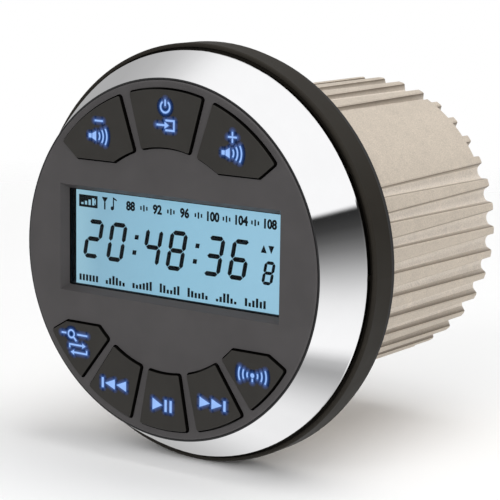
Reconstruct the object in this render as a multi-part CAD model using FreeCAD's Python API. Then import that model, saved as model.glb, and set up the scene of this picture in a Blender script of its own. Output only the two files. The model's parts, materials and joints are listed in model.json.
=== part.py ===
import FreeCAD, Part
import math
import os
from FreeCAD import Vector

# Round in-dash marine stereo for a 76.2 mm (3 in) gauge hole.
# Millimetres. +Z is up, +X is to the right for someone facing the stereo, and the face looks along -Y.
# The origin is the centre of the mounting plane, where the back of the panel gasket meets the dash.

# Panel side
PANEL_HOLE_R = 38.1
COLLAR_CLEARANCE = 0.15
COLLAR_L = 6.0
COLLAR_NECK_D = 0.8
GASKET_T = 1.5
GASKET_INNER_GAP = 0.5
GASKET_EDGE_W = 0.6

# Black rim and its floor
RIM_R = 50.8
RIM_T = 7.4
RIM_WALL = 2.2
RIM_LIP_W = 1.1
RIM_STEP_D = 1.2
RIM_EDGE_R = 0.6
RIM_LIP_EDGE_R = 0.3
RIM_RIB_COUNT = 12
RIM_RIB_T = 1.2
FLOOR_T = 3.0
SPIGOT_WALL = 1.5

# Face
BEZEL_STAND = 12.1
FACE_EDGE_R = 0.5
PLATE_T = 2.0
SKIRT_T = 1.0
SHOULDER_W = 2.6
SHOULDER_T = 1.4
FACE_SEAL_T = 0.8

# Bright trim ring
TRIM_INSET = 1.6
TRIM_W = 6.4
TRIM_T = 1.5
TRIM_GAP = 0.95
TRIM_SETBACK = 0.5
TRIM_LIP_W = 0.35
TRIM_EDGE_T = 0.4
TRIM_EDGE_R = 0.8
TRIM_FOOT_T = 0.8
TRIM_FIT = 0.15
FOOT_CLEARANCE = 0.3

# Display window, lens and module
WINDOW_SIDE_MARGIN = 11.35
WINDOW_H = 23.9
WINDOW_Z = 2.45
WINDOW_CORNER_R = 0.4
WINDOW_WALL = 3.4
BEVEL_W = 1.2
BEVEL_D = 2.1
LENS_SETBACK = 2.3
LENS_FIT = 0.1
LENS_FLANGE_W = 1.6
LENS_FLANGE_T = 1.0
LCD_BORDER = 2.0
LCD_GLASS_T = 1.1
LCD_LEDGE = 1.8
LCD_GAP = 0.2
LIGHT_GUIDE_T = 1.4
LIGHT_GUIDE_FIT = 0.2
FRAME_WALL = 1.4
FRAME_BACK_T = 0.6
FRAME_FIT = 0.15
FRAME_CORNER_R = 1.0
BACKLIGHT_COUNT = 4
BACKLIGHT_L = 2.6
BACKLIGHT_D = 1.4
STRIP_W = 1.4
STRIP_MARGIN = 3.0

# Keys
KEY_INNER_R = 26.7
KEY_LIP_W = 1.7
TOP_KEY_PITCH = 35.0
TOP_KEY_SPAN = 31.7
LOW_KEY_PITCH = 24.4
LOW_KEY_SPAN = 21.2
TOP_KEY_MARGIN = 7.6
LOW_KEY_MARGIN = 8.4
KEY_GAP = 0.4
KEY_PROUD = 0.8
KEY_TRAVEL = 0.7
KEY_CORNER_R = 0.5
KEY_EDGE_R = 0.25
KEY_FLANGE_W = 0.4
KEY_FLANGE_T = 1.0
KEY_SLACK = 0.05
KEY_STEM_R = 2.2
KEY_STOP = 0.1

# Keypad mat and front board
MAT_T = 1.0
MAT_FIT = 0.3
DOME_H = 1.4
DOME_R = 3.2
LIGHT_OFFSET = 5.1
LIGHT_L = 1.6
LIGHT_W = 0.8
LIGHT_T = 0.8
LIGHT_HOLE_R = 1.4
BOARD_T = 1.6
BOARD_FIT = 0.4
BOARD_BOSS_R = 2.4
SIDE_BOSS_INSET = 4.0
TOP_BOSS_GAP = 3.45
LOW_BOSS_GAP = 4.15
LOW_BOSS_X = 12.6

# Screws
SCREW_CLEARANCE = 0.1
THREAD_GAP = 0.03
HOLE_RUNOUT = 0.5
SMALL_SCREW_R = 1.1
SMALL_HEAD_R = 2.1
SMALL_HEAD_H = 1.4
BOARD_SCREW_L = 6.2
BEZEL_SCREW_COUNT = 4
BEZEL_SCREW_L = 9.0
BEZEL_BOSS_R = 2.6
BEZEL_BOSS_L = 9.6
SCREW_R = 1.5
HEAD_R = 2.8
HEAD_H = 1.8
CROSS_MARGIN = 0.9
CROSS_W = 0.6
CROSS_D = 0.8
BODY_SCREW_COUNT = 4
BODY_SCREW_INSET = 4.7
BODY_SCREW_L = 7.0
COVER_SCREW_COUNT = 6
COVER_SCREW_L = 10.0

# Finned body
BODY_L = 70.5
FIN_COUNT = 37
FIN_TURN = -0.3
FIN_CLEARANCE = 0.45
FIN_H = 2.4
FIN_DRAFT = 1.0
FIN_EDGE = 0.25
FIN_TIP_W = 1.9
FIN_FOOT_W = 2.9
FIN_FOOT_H = 0.7
LAND_ANGLE = 44.5
LAND_SPAN = 34.0
LAND_STOP = 3.0
BODY_WALL = 6.7
BODY_EDGE = 0.3
FRONT_WALL_T = 5.0
BODY_SEAL_INSET = 0.8
BODY_SEAL_W = 2.0
BODY_SEAL_T = 1.3
SEAL_FIT = 0.05

# Bracket stud holes
STUD_R = 2.5
STUD_DEPTH = 12.0
STUD_BOSS_R = 4.0
STUD_CLEARANCE = 0.3

# Rear cover
REAR_SEAL_T = 0.8
COVER_T = 3.0
COVER_RECESS = 3.8
COVER_MARGIN = 1.1
COVER_FIT = 0.2
COVER_EDGE = 0.5
COVER_SCREW_MARGIN = 0.2
SOCKET_SEAL_T = 1.0
SOCKET_FIT = 0.15
POST_R = 2.6
POST_INSETS = {90.0: 6.9, -21.0: 4.2, -155.0: 3.8}
POST_SCREW_L = 6.5

# Amplifier chip and its clamp
CHIP_W = 29.2
CHIP_H = 16.0
CHIP_T = 4.5
CHIP_Z = 9.0
THERMAL_PAD_T = 0.5
LEAD_COUNT = 25
LEAD_PITCH = 1.0
LEAD_W = 0.5
CLAMP_L = 45.0
CLAMP_W = 8.0
CLAMP_T = 1.5
CLAMP_SCREW_X = 18.6
CLAMP_SCREW_L = 8.0
CLAMP_BOSS_R = 3.0
CLAMP_NIP = 0.1

# Main board and what stands on it
MAIN_BOARD_Z = -12.0
MAIN_BOARD_SIDE_GAP = 0.7
MAIN_BOARD_Y = 5.0
MAIN_BOARD_END_GAP = 3.0
RAIL_BITE = 1.8
RAIL_H = 3.0
RAIL_FIT = 0.1
CAPACITOR_R = 6.25
CAPACITOR_H = 24.0
CAPACITOR_X = (-15.0, -1.0)
CAPACITOR_GROOVE_R = 0.6
CAPACITOR_GROOVE_H = 3.0
CHOKE_R = 9.0
CHOKE_BORE_R = 4.6
CHOKE_H = 8.0
CHOKE_X = -11.6
CHOKE_TURNS = 14
CHOKE_WIRE_W = 1.0
CHOKE_WIRE_GAP = 0.03
TUNER_W = 23.0
TUNER_L = 18.0
TUNER_H = 7.0
TUNER_X = 10.5
RADIO_W = 14.0
RADIO_L = 12.0
RADIO_H = 2.4
RADIO_X = 15.0
PROCESSOR_W = 12.0
PROCESSOR_H = 1.4
PROCESSOR_Y = 34.0
HEADER_W = 18.0
HEADER_H = 5.5
HEADER_L = 5.0
HEADER_Z = -19.5
MAIN_HEADER_Y = 10.0
RIBBON_W = 13.0
RIBBON_T = 0.6
RIBBON_BEND_R = 3.0
RIBBON_SLOT_GAP = 1.2
LINK_W = 30.0
LINK_H = 7.0
LINK_L = 9.0

# Rear board and its sockets
REAR_BOARD_SETBACK = 13.5
REAR_BOARD_FIT = 0.6
POWER_W = 34.0
POWER_H = 12.0
POWER_WALL = 1.6
POWER_CORNER_GAP = 1.0
POWER_STAND = 4.0
POWER_DEPTH = 12.0
POWER_ROWS = 2
POWER_COLUMNS = 8
POWER_PIN_R = 0.5
POWER_PIN_L = 6.0
POWER_PIN_PITCH_X = 3.5
POWER_PIN_PITCH_Z = 4.0
LATCH_W = 7.0
LATCH_H = 1.2
LATCH_L = 2.4
RCA_PITCH = 13.0
RCA_X = -12.0
RCA_Z = 5.5
RCA_MARGIN = 5.3
RCA_STAND = 1.0
RCA_SLEEVE_R = 4.15
RCA_SLEEVE_T = 0.45
RCA_SLEEVE_L = 9.0
RCA_HOLE_R = 1.6
RCA_HOLE_L = 8.0
RCA_INSERT_FIT = 0.02
RCA_INSERT_SETBACK = 0.4
USB_X = 12.0
USB_Z = 14.0
USB_W = 13.5
USB_H = 6.1
USB_WALL = 0.5
USB_STAND = 2.0
USB_CORE_L = 2.2
USB_TONGUE_W = 11.1
USB_TONGUE_T = 1.9
USB_TONGUE_SETBACK = 1.0
AERIAL_X = 12.5
AERIAL_Z = -0.5
AERIAL_R = 5.8
AERIAL_BORE_R = 4.5
AERIAL_STAND = 8.0
AERIAL_DEPTH = 14.0
AERIAL_DISC_T = 2.0
AERIAL_CONTACT_R = 1.7
AERIAL_CONTACT_HOLE_R = 0.9
AERIAL_CONTACT_L = 8.0

# Radii of the front that follow from the rim
TRIM_R = RIM_R - TRIM_INSET
FACE_R = TRIM_R - TRIM_W
WINDOW_W = 2 * (FACE_R - WINDOW_SIDE_MARGIN)

# Radii of the body that follow from the hole in the panel
collar_r = PANEL_HOLE_R - COLLAR_CLEARANCE
FIN_TIP_R = collar_r - FIN_CLEARANCE
FIN_ROOT_R = FIN_TIP_R - FIN_H
CAVITY_R = FIN_ROOT_R - BODY_WALL

# Places along Y that follow from the stack
floor_back = -GASKET_T
floor_front = floor_back - FLOOR_T
rim_front = floor_back - RIM_T
face_y = rim_front - BEZEL_STAND
plate_back = face_y + PLATE_T
skirt_end = floor_front - FACE_SEAL_T
trim_front = face_y + TRIM_SETBACK
trim_back = rim_front - TRIM_GAP
shoulder_back = trim_back - TRIM_FOOT_T - TRIM_FIT
window_back = face_y + WINDOW_WALL
lens_front = face_y + LENS_SETBACK
lens_back = window_back + LENS_FLANGE_T
lcd_front = lens_back + LCD_GAP
lcd_mid = lcd_front + LCD_GLASS_T
lcd_back = lcd_mid + LCD_GLASS_T
guide_back = lcd_back + LIGHT_GUIDE_T
board_front = guide_back + FRAME_BACK_T
board_back = board_front + BOARD_T
mat_front = board_front - MAT_T
dome_front = mat_front - DOME_H
key_front = face_y - KEY_PROUD
flange_front = plate_back + KEY_SLACK
flange_back = flange_front + KEY_FLANGE_T
stem_end = dome_front - KEY_TRAVEL - KEY_STOP
cavity_front = floor_back + FRONT_WALL_T
chip_front = cavity_front + THERMAL_PAD_T
chip_back = chip_front + CHIP_T
clamp_back = chip_back + CLAMP_T
seat_y = BODY_L - COVER_RECESS
cover_front = seat_y + REAR_SEAL_T
cover_back = cover_front + COVER_T
REAR_BOARD_Y = BODY_L - REAR_BOARD_SETBACK
MAIN_BOARD_L = REAR_BOARD_Y - MAIN_BOARD_END_GAP - MAIN_BOARD_Y
rear_board_back = REAR_BOARD_Y + BOARD_T
header_back = board_back + HEADER_L
rca_back = cover_back + RCA_STAND
power_back = cover_back + POWER_STAND
usb_back = cover_back + USB_STAND
aerial_back = cover_back + AERIAL_STAND

# Heights that follow from the main board, from the window and from the cavity
board_under = MAIN_BOARD_Z - BOARD_T
main_header_z = board_under - HEADER_H / 2
window_top = WINDOW_Z + WINDOW_H / 2
window_foot = WINDOW_Z - WINDOW_H / 2
top_key_cut_z = window_top + TOP_KEY_MARGIN
low_key_cut_z = window_foot - LOW_KEY_MARGIN
POWER_Z = POWER_H / 2 - math.sqrt((CAVITY_R - POWER_CORNER_GAP) ** 2 - (POWER_W / 2) ** 2)

# Radii and widths that follow from a neighbour
key_outer_r = FACE_R - KEY_LIP_W
key_middle_r = (key_outer_r + KEY_INNER_R) / 2
skirt_inner_r = FACE_R - SKIRT_T
shoulder_r = FACE_R + SHOULDER_W
boss_reach_r = FACE_R + SHOULDER_W / 2
bezel_screw_pitch_r = boss_reach_r - BEZEL_BOSS_R
spigot_inner_r = boss_reach_r + FOOT_CLEARANCE
spigot_outer_r = spigot_inner_r + SPIGOT_WALL
rim_inner_r = RIM_R - RIM_WALL
mat_r = skirt_inner_r - BOARD_FIT
lcd_w = WINDOW_W + 2 * LCD_BORDER
lcd_h = WINDOW_H + 2 * LCD_BORDER
tray_w = lcd_w + 2 * FRAME_FIT
tray_h = lcd_h + 2 * FRAME_FIT
frame_w = tray_w + 2 * FRAME_WALL
frame_h = tray_h + 2 * FRAME_WALL
strip_z = WINDOW_Z - lcd_h / 2 + LCD_LEDGE / 2
MAIN_BOARD_W = 2 * (math.sqrt(CAVITY_R ** 2 - board_under ** 2) - MAIN_BOARD_SIDE_GAP)
BODY_SEAL_R = FIN_ROOT_R - BODY_SEAL_INSET
BODY_SCREW_PITCH_R = FIN_ROOT_R - BODY_SCREW_INSET
cover_r = FIN_ROOT_R - COVER_MARGIN
STUD_PITCH_R = cover_r - STUD_BOSS_R
cover_screw_pitch_r = cover_r - COVER_EDGE - HEAD_R - COVER_SCREW_MARGIN

# Rows of large components between the amplifier's leads and the rear board, evenly spaced
lead_y = (chip_front + chip_back) / 2 + LEAD_W
row_front = lead_y + LEAD_W / 2
choke_reach = CHOKE_R + CHOKE_WIRE_GAP + CHOKE_WIRE_W
left_gap = (REAR_BOARD_Y - row_front - 2 * choke_reach - 2 * CAPACITOR_R - LINK_L) / 3
right_gap = (REAR_BOARD_Y - row_front - TUNER_L - RADIO_L - LINK_L) / 3
CHOKE_Y = row_front + left_gap + choke_reach
CAPACITOR_Y = CHOKE_Y + choke_reach + left_gap + CAPACITOR_R
TUNER_Y = row_front + right_gap + TUNER_L / 2
RADIO_Y = TUNER_Y + TUNER_L / 2 + right_gap + RADIO_L / 2

FAR = 300.0
Y_AXIS = Vector(0, 1, 0)
Z_AXIS = Vector(0, 0, 1)

TOP_KEYS = {"vol_down_key": 1, "power_key": 0, "vol_up_key": -1}
LOW_KEYS = {"scan_key": -2, "previous_key": -1, "play_key": 0, "next_key": 1, "band_key": 2}


# Simple solids, all drawn along Y

def cylinder(radius, y0, y1, x=0.0, z=0.0):
    return Part.makeCylinder(radius, y1 - y0, Vector(x, y0, z), Y_AXIS)


def tube(outer, inner, y0, y1, x=0.0, z=0.0):
    return cylinder(outer, y0, y1, x, z).cut(cylinder(inner, y0, y1, x, z))


def block(width, height, y0, y1, x=0.0, z=0.0):
    """Box centred on x and z: width runs along X and height along Z."""
    return Part.makeBox(width, y1 - y0, height, Vector(x - width / 2, y0, z - height / 2))


def standing_block(width, length, height, x, y, z):
    """Box that stands on z, centred on x and y: width runs along X and length along Y."""
    return Part.makeBox(width, length, height, Vector(x - width / 2, y - length / 2, z))


def y_edges(shape):
    """Straight edges that run along Y."""
    found = []
    for edge in shape.Edges:
        run = edge.Vertexes[-1].Point - edge.Vertexes[0].Point
        if abs(run.y) > 1e-6 and math.hypot(run.x, run.z) < 1e-6:
            found.append(edge)
    return found


def edges_at(shape, y):
    """Edges that lie in the plane at y."""
    return [edge for edge in shape.Edges if all(abs(v.Y - y) < 1e-6 for v in edge.Vertexes)]


def rings_at(shape, radius, y):
    """Round edges of that radius in the plane at y."""
    return [edge for edge in edges_at(shape, y)
            if isinstance(edge.Curve, Part.Circle) and abs(edge.Curve.Radius - radius) < 1e-6]


def rounded_block(width, height, corner_r, y0, y1, x=0.0, z=0.0):
    shape = block(width, height, y0, y1, x, z)
    return shape.makeFillet(corner_r, y_edges(shape))


def prism(points, y0, y1):
    """Straight-sided solid over an outline of (x, z) points."""
    corners = [Vector(x, y0, z) for x, z in points]
    face = Part.Face(Part.makePolygon(corners + corners[:1]))
    return face.extrude(Vector(0, y1 - y0, 0))


def turned(points):
    """Solid of revolution about Y over an outline of (radius, y) points."""
    corners = [Vector(radius, y, 0) for radius, y in points]
    face = Part.Face(Part.makePolygon(corners + corners[:1]))
    return face.revolve(Vector(0, 0, 0), Y_AXIS, 360)


def polar(radius, degrees):
    angle = math.radians(degrees)
    return radius * math.cos(angle), radius * math.sin(angle)


def ring_places(count, radius, start=0.0):
    return [polar(radius, start + 360.0 * k / count) for k in range(count)]


def wedge(centre, span, grow, y0, y1):
    """Sector from the axis outwards, each radial side moved out by grow."""
    apex_x, apex_z = polar(-grow / math.sin(math.radians(span / 2)), centre)
    low_x, low_z = polar(FAR, centre - span / 2)
    high_x, high_z = polar(FAR, centre + span / 2)
    corners = [
        (apex_x, apex_z),
        (apex_x + low_x, apex_z + low_z),
        (apex_x + high_x, apex_z + high_z),
    ]
    return prism(corners, y0, y1)


def fused(shapes):
    return shapes[0].multiFuse(shapes[1:]).removeSplitter()


def bored(shape, cutters):
    for cutter in cutters:
        shape = shape.cut(cutter)
    return shape


def single(shape):
    """The one solid in what a Boolean operation gave."""
    if len(shape.Solids) != 1:
        raise ValueError("expected one solid, found %d" % len(shape.Solids))
    return shape.Solids[0]


def screw(x, z, seat_y, length, way, shank_r, head_r, head_h):
    """Cross-head screw with its head under-face at seat_y and its shank along +Y (way 1) or -Y (way -1)."""
    tip_y = seat_y + way * length
    top_y = seat_y - way * head_h
    cross_y = top_y + way * CROSS_D
    shank = cylinder(shank_r, min(seat_y, tip_y), max(seat_y, tip_y), x, z)
    head = cylinder(head_r, min(seat_y, top_y), max(seat_y, top_y), x, z)
    arm = 2 * (head_r - CROSS_MARGIN)
    low = min(top_y, cross_y)
    high = max(top_y, cross_y)
    cross = block(arm, CROSS_W, low, high, x, z).fuse(block(CROSS_W, arm, low, high, x, z))
    return single(shank.fuse(head).cut(cross))


def screws(places, seat_y, length, way):
    return Part.makeCompound([screw(x, z, seat_y, length, way, SCREW_R, HEAD_R, HEAD_H) for x, z in places])


def small_screws(places, seat_y, length, way):
    return Part.makeCompound([screw(x, z, seat_y, length, way, SMALL_SCREW_R, SMALL_HEAD_R, SMALL_HEAD_H)
                              for x, z in places])


# Places that several pieces share

def key_layout():
    """Centre angle, span and level cut of every key."""
    layout = {}
    for name, step in TOP_KEYS.items():
        layout[name] = (90.0 + step * TOP_KEY_PITCH, TOP_KEY_SPAN, top_key_cut_z)
    for name, step in LOW_KEYS.items():
        layout[name] = (-90.0 + step * LOW_KEY_PITCH, LOW_KEY_SPAN, low_key_cut_z)
    return layout


def key_places():
    """Where each key's stem meets the mat."""
    return [polar(key_middle_r, centre) for centre, span, cut_z in key_layout().values()]


def light_places():
    """A lamp beside each key stem, and the angle that it is turned to."""
    places = []
    for centre, span, cut_z in key_layout().values():
        x, z = polar(key_middle_r, centre)
        dx, dz = polar(LIGHT_OFFSET, centre + 90.0)
        places.append((x + dx, z + dz, centre))
    return places


def bezel_boss_places():
    return ring_places(BEZEL_SCREW_COUNT, bezel_screw_pitch_r, 45.0)


def board_boss_places():
    side_x = skirt_inner_r - SIDE_BOSS_INSET
    top_z = WINDOW_Z + frame_h / 2 + TOP_BOSS_GAP
    low_z = WINDOW_Z - frame_h / 2 - LOW_BOSS_GAP
    return [(side_x, 0.0), (-side_x, 0.0), (0.0, top_z), (LOW_BOSS_X, low_z), (-LOW_BOSS_X, low_z)]


def body_screw_places():
    return ring_places(BODY_SCREW_COUNT, BODY_SCREW_PITCH_R)


def cover_screw_places():
    return ring_places(COVER_SCREW_COUNT, cover_screw_pitch_r)


def stud_places():
    return [(0.0, STUD_PITCH_R), (0.0, -STUD_PITCH_R)]


def clamp_places():
    return [(-CLAMP_SCREW_X, CHIP_Z), (CLAMP_SCREW_X, CHIP_Z)]


def post_places():
    return [polar(CAVITY_R - inset, angle) for angle, inset in POST_INSETS.items()]


def rca_places():
    half = RCA_PITCH / 2
    return [(RCA_X + sx * half, RCA_Z + sz * half) for sz in (-1, 1) for sx in (-1, 1)]


def ribbon_slot(y0, y1):
    width = RIBBON_W + 2 * RIBBON_SLOT_GAP
    height = RIBBON_T + 2 * RIBBON_SLOT_GAP
    return block(width, height, y0, y1, 0.0, HEADER_Z)


# Keys

def key_prism(centre, span, cut_z, grow, y0, y1, corner_r):
    """Keystone between two arcs and two radial sides, cut level at cut_z on the side of the display.

    Its corner radius is held to a third of the shortest side.
    """
    ring = tube(key_outer_r + grow, KEY_INNER_R - grow, y0, y1)
    keystone = ring.common(wedge(centre, span, grow, y0, y1))
    side = math.copysign(1.0, cut_z)
    kept = block(FAR, FAR, y0, y1, 0.0, cut_z + side * (FAR / 2 - grow))
    keystone = single(keystone.common(kept))
    shortest = min(edge.Length for edge in edges_at(keystone, y0))
    return keystone.makeFillet(min(corner_r, shortest / 3), y_edges(keystone))


def key(name):
    centre, span, cut_z = key_layout()[name]
    cap = key_prism(centre, span, cut_z, -KEY_GAP, key_front, flange_front, KEY_CORNER_R)
    rim = edges_at(cap, key_front)
    cap = cap.makeFillet(min(KEY_EDGE_R, *(edge.Length for edge in rim)), rim)
    flange = key_prism(centre, span, cut_z, KEY_FLANGE_W, flange_front, flange_back, KEY_CORNER_R)
    x, z = polar(key_middle_r, centre)
    stem = cylinder(KEY_STEM_R, flange_back, stem_end, x, z)
    return single(fused([cap, flange, stem]))


# Face, trim and housing

def window_bevel():
    """Slanted surround that leads from the face down to the window."""
    def outline(margin, y):
        half_w = WINDOW_W / 2 + margin
        half_h = WINDOW_H / 2 + margin
        signs = ((-1, -1), (1, -1), (1, 1), (-1, 1))
        corners = [Vector(sx * half_w, y, WINDOW_Z + sz * half_h) for sx, sz in signs]
        return Part.makePolygon(corners + corners[:1])

    return Part.makeLoft([outline(BEVEL_W, face_y), outline(0.0, face_y + BEVEL_D)], True, True)


def front_bezel():
    plate = cylinder(FACE_R, face_y, plate_back)
    plate = plate.makeFillet(FACE_EDGE_R, edges_at(plate, face_y))
    inside = plate_back - PLATE_T / 2
    skirt = tube(FACE_R, skirt_inner_r, inside, skirt_end)
    shoulder = tube(shoulder_r, skirt_inner_r, shoulder_back - SHOULDER_T, shoulder_back)
    surround = rounded_block(frame_w, frame_h, FRAME_CORNER_R, inside, window_back, 0.0, WINDOW_Z)
    parts = [plate, skirt, shoulder, surround]
    for x, z in bezel_boss_places():
        parts.append(cylinder(BEZEL_BOSS_R, skirt_end - BEZEL_BOSS_L, skirt_end, x, z))
    for x, z in board_boss_places():
        parts.append(cylinder(BOARD_BOSS_R, inside, board_front, x, z))
    cuts = [window_bevel()]
    cuts.append(rounded_block(WINDOW_W, WINDOW_H, WINDOW_CORNER_R, face_y, window_back, 0.0, WINDOW_Z))
    for centre, span, cut_z in key_layout().values():
        cuts.append(key_prism(centre, span, cut_z, 0.0, face_y, plate_back, KEY_CORNER_R + KEY_GAP))
    bezel_hole_l = BEZEL_SCREW_L + HOLE_RUNOUT - (FLOOR_T + FACE_SEAL_T - SMALL_HEAD_H - SCREW_CLEARANCE)
    for x, z in bezel_boss_places():
        cuts.append(cylinder(SMALL_SCREW_R + THREAD_GAP, skirt_end - bezel_hole_l, skirt_end, x, z))
    board_hole_l = BOARD_SCREW_L + HOLE_RUNOUT - BOARD_T
    for x, z in board_boss_places():
        cuts.append(cylinder(SMALL_SCREW_R + THREAD_GAP, board_front - board_hole_l, board_front, x, z))
    return single(bored(fused(parts), cuts))


def trim_ring():
    bore_r = FACE_R + TRIM_FIT
    front_r = bore_r + TRIM_LIP_W
    edge_y = trim_back - TRIM_EDGE_T
    slope = (TRIM_R - front_r) / (edge_y - trim_front)
    inset = TRIM_T * math.hypot(1.0, slope)
    foot_front = trim_back - TRIM_FOOT_T
    inner_r = front_r + slope * (foot_front - trim_front) - inset
    throat_y = trim_front + (inset - TRIM_LIP_W) / slope
    outline = [
        (bore_r, trim_front),
        (front_r, trim_front),
        (TRIM_R, edge_y),
        (TRIM_R, trim_back),
        (spigot_inner_r, trim_back),
        (spigot_inner_r, foot_front),
        (inner_r, foot_front),
        (bore_r, throat_y),
    ]
    ring = turned(outline)
    return single(ring.makeFillet(TRIM_EDGE_R, rings_at(ring, TRIM_R, edge_y)))


def front_housing():
    lip_r = RIM_R - RIM_LIP_W
    rim = turned([
        (rim_inner_r, floor_back),
        (rim_inner_r, rim_front + RIM_STEP_D),
        (lip_r, rim_front + RIM_STEP_D),
        (lip_r, rim_front),
        (RIM_R, rim_front),
        (RIM_R, floor_back),
    ])
    rim = rim.makeFillet(RIM_EDGE_R, rings_at(rim, RIM_R, rim_front) + rings_at(rim, RIM_R, floor_back))
    rim = rim.makeFillet(RIM_LIP_EDGE_R, rings_at(rim, lip_r, rim_front))
    floor = cylinder(rim_inner_r + RIM_WALL / 2, floor_front, floor_back)
    spigot = tube(spigot_outer_r, spigot_inner_r, trim_back, floor_back)
    parts = [rim, floor, spigot]
    rib_front = rim_front + RIM_STEP_D
    rib_l = rim_inner_r - spigot_inner_r
    for k in range(RIM_RIB_COUNT):
        rib = block(rib_l, RIM_RIB_T, rib_front, floor_back, spigot_inner_r + SPIGOT_WALL / 2 + rib_l / 2)
        rib = rib.common(cylinder(rim_inner_r + RIM_WALL / 2, rib_front, floor_back))
        rib.rotate(Vector(0, 0, 0), Y_AXIS, 360.0 * k / RIM_RIB_COUNT)
        parts.append(rib)
    cuts = [ribbon_slot(floor_front, floor_back)]
    for x, z in bezel_boss_places():
        cuts.append(cylinder(SMALL_SCREW_R + SCREW_CLEARANCE, floor_front, floor_back, x, z))
        counterbore_l = SMALL_HEAD_H + SCREW_CLEARANCE
        cuts.append(cylinder(SMALL_HEAD_R + SCREW_CLEARANCE, floor_back - counterbore_l, floor_back, x, z))
    for x, z in body_screw_places():
        cuts.append(cylinder(SCREW_R + SCREW_CLEARANCE, floor_front, floor_back, x, z))
    return single(bored(fused(parts), cuts))


def face_seal():
    ring = tube(boss_reach_r, bezel_screw_pitch_r - BEZEL_BOSS_R, skirt_end, floor_front)
    hole_r = SMALL_SCREW_R + SCREW_CLEARANCE
    holes = [cylinder(hole_r, skirt_end, floor_front, x, z) for x, z in bezel_boss_places()]
    return single(bored(ring, holes))


def panel_gasket():
    return single(tube(RIM_R - GASKET_EDGE_W, collar_r + GASKET_INNER_GAP, floor_back, 0.0))


# Display

def display_lens():
    plug = block(WINDOW_W - 2 * LENS_FIT, WINDOW_H - 2 * LENS_FIT, lens_front, window_back, 0.0, WINDOW_Z)
    plug = plug.makeFillet(WINDOW_CORNER_R, y_edges(plug))
    flange_w = WINDOW_W + 2 * LENS_FLANGE_W
    flange_h = WINDOW_H + 2 * LENS_FLANGE_W
    flange = rounded_block(flange_w, flange_h, FRAME_CORNER_R, window_back, lens_back, 0.0, WINDOW_Z)
    return single(fused([plug, flange]))


def lcd_glass():
    front = block(lcd_w, lcd_h, lcd_front, lcd_mid, 0.0, WINDOW_Z)
    back = block(lcd_w, lcd_h - LCD_LEDGE, lcd_mid, lcd_back, 0.0, WINDOW_Z + LCD_LEDGE / 2)
    return single(fused([front, back]))


def guide_width():
    return lcd_w - BACKLIGHT_D - LIGHT_GUIDE_FIT


def light_guide():
    x = (lcd_w - guide_width()) / 2
    height = lcd_h - LCD_LEDGE - LIGHT_GUIDE_FIT
    z = WINDOW_Z + (LCD_LEDGE + LIGHT_GUIDE_FIT) / 2
    return block(guide_width(), height, lcd_back, guide_back, x, z)


def backlight_leds():
    x = -lcd_w / 2 + BACKLIGHT_D / 2
    pitch = (lcd_h - LCD_LEDGE) / BACKLIGHT_COUNT
    low_z = WINDOW_Z - lcd_h / 2 + LCD_LEDGE + pitch / 2
    return Part.makeCompound([block(BACKLIGHT_D, BACKLIGHT_L, lcd_back, guide_back, x, low_z + k * pitch)
                              for k in range(BACKLIGHT_COUNT)])


def lcd_frame():
    frame = rounded_block(frame_w, frame_h, FRAME_CORNER_R, window_back, board_front, 0.0, WINDOW_Z)
    tray = block(tray_w, tray_h, window_back, guide_back, 0.0, WINDOW_Z)
    strip_slot = block(lcd_w - STRIP_MARGIN, STRIP_W + 2 * FRAME_FIT, guide_back, board_front, 0.0, strip_z)
    return single(bored(frame, [tray, strip_slot]))


def contact_strip():
    return block(lcd_w - 2 * STRIP_MARGIN, STRIP_W, lcd_mid, board_front, 0.0, strip_z)


# Keypad and front board

def board_openings(fit, y0, y1):
    """Clearance round the bezel's bosses in the mat and the front board."""
    return [cylinder(BEZEL_BOSS_R + fit, y0, y1, x, z) for x, z in bezel_boss_places()]


def keypad_mat():
    sheet = cylinder(mat_r, mat_front, board_front)
    parts = [sheet] + [cylinder(DOME_R, dome_front, board_front, x, z) for x, z in key_places()]
    cuts = board_openings(MAT_FIT, dome_front, board_front)
    cuts.append(block(frame_w + 2 * MAT_FIT, frame_h + 2 * MAT_FIT, dome_front, board_front, 0.0, WINDOW_Z))
    for x, z in board_boss_places():
        cuts.append(cylinder(BOARD_BOSS_R + MAT_FIT, dome_front, board_front, x, z))
    for x, z, turn in light_places():
        cuts.append(cylinder(LIGHT_HOLE_R, dome_front, board_front, x, z))
    return single(bored(fused(parts), cuts))


def front_board():
    disc = cylinder(mat_r, board_front, board_back)
    cuts = board_openings(BOARD_FIT, board_front, board_back)
    for x, z in board_boss_places():
        cuts.append(cylinder(SMALL_SCREW_R + SCREW_CLEARANCE, board_front, board_back, x, z))
    return single(bored(disc, cuts))


def key_leds():
    lamps = []
    for x, z, turn in light_places():
        lamp = block(LIGHT_L, LIGHT_W, board_front - LIGHT_T, board_front, x, z)
        lamp.rotate(Vector(x, 0, z), Y_AXIS, 90.0 - turn)
        lamps.append(lamp)
    return Part.makeCompound(lamps)


def board_screws():
    return small_screws(board_boss_places(), board_back, BOARD_SCREW_L, -1)


def bezel_screws():
    seat_y = floor_back - SMALL_HEAD_H - SCREW_CLEARANCE
    return small_screws(bezel_boss_places(), seat_y, BEZEL_SCREW_L, -1)


def body_screws():
    return screws(body_screw_places(), floor_front, BODY_SCREW_L, 1)


def front_header():
    return block(HEADER_W, HEADER_H, board_back, header_back, 0.0, HEADER_Z)


def main_header():
    return block(HEADER_W, HEADER_H, MAIN_HEADER_Y, MAIN_HEADER_Y + HEADER_L, 0.0, main_header_z)


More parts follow.
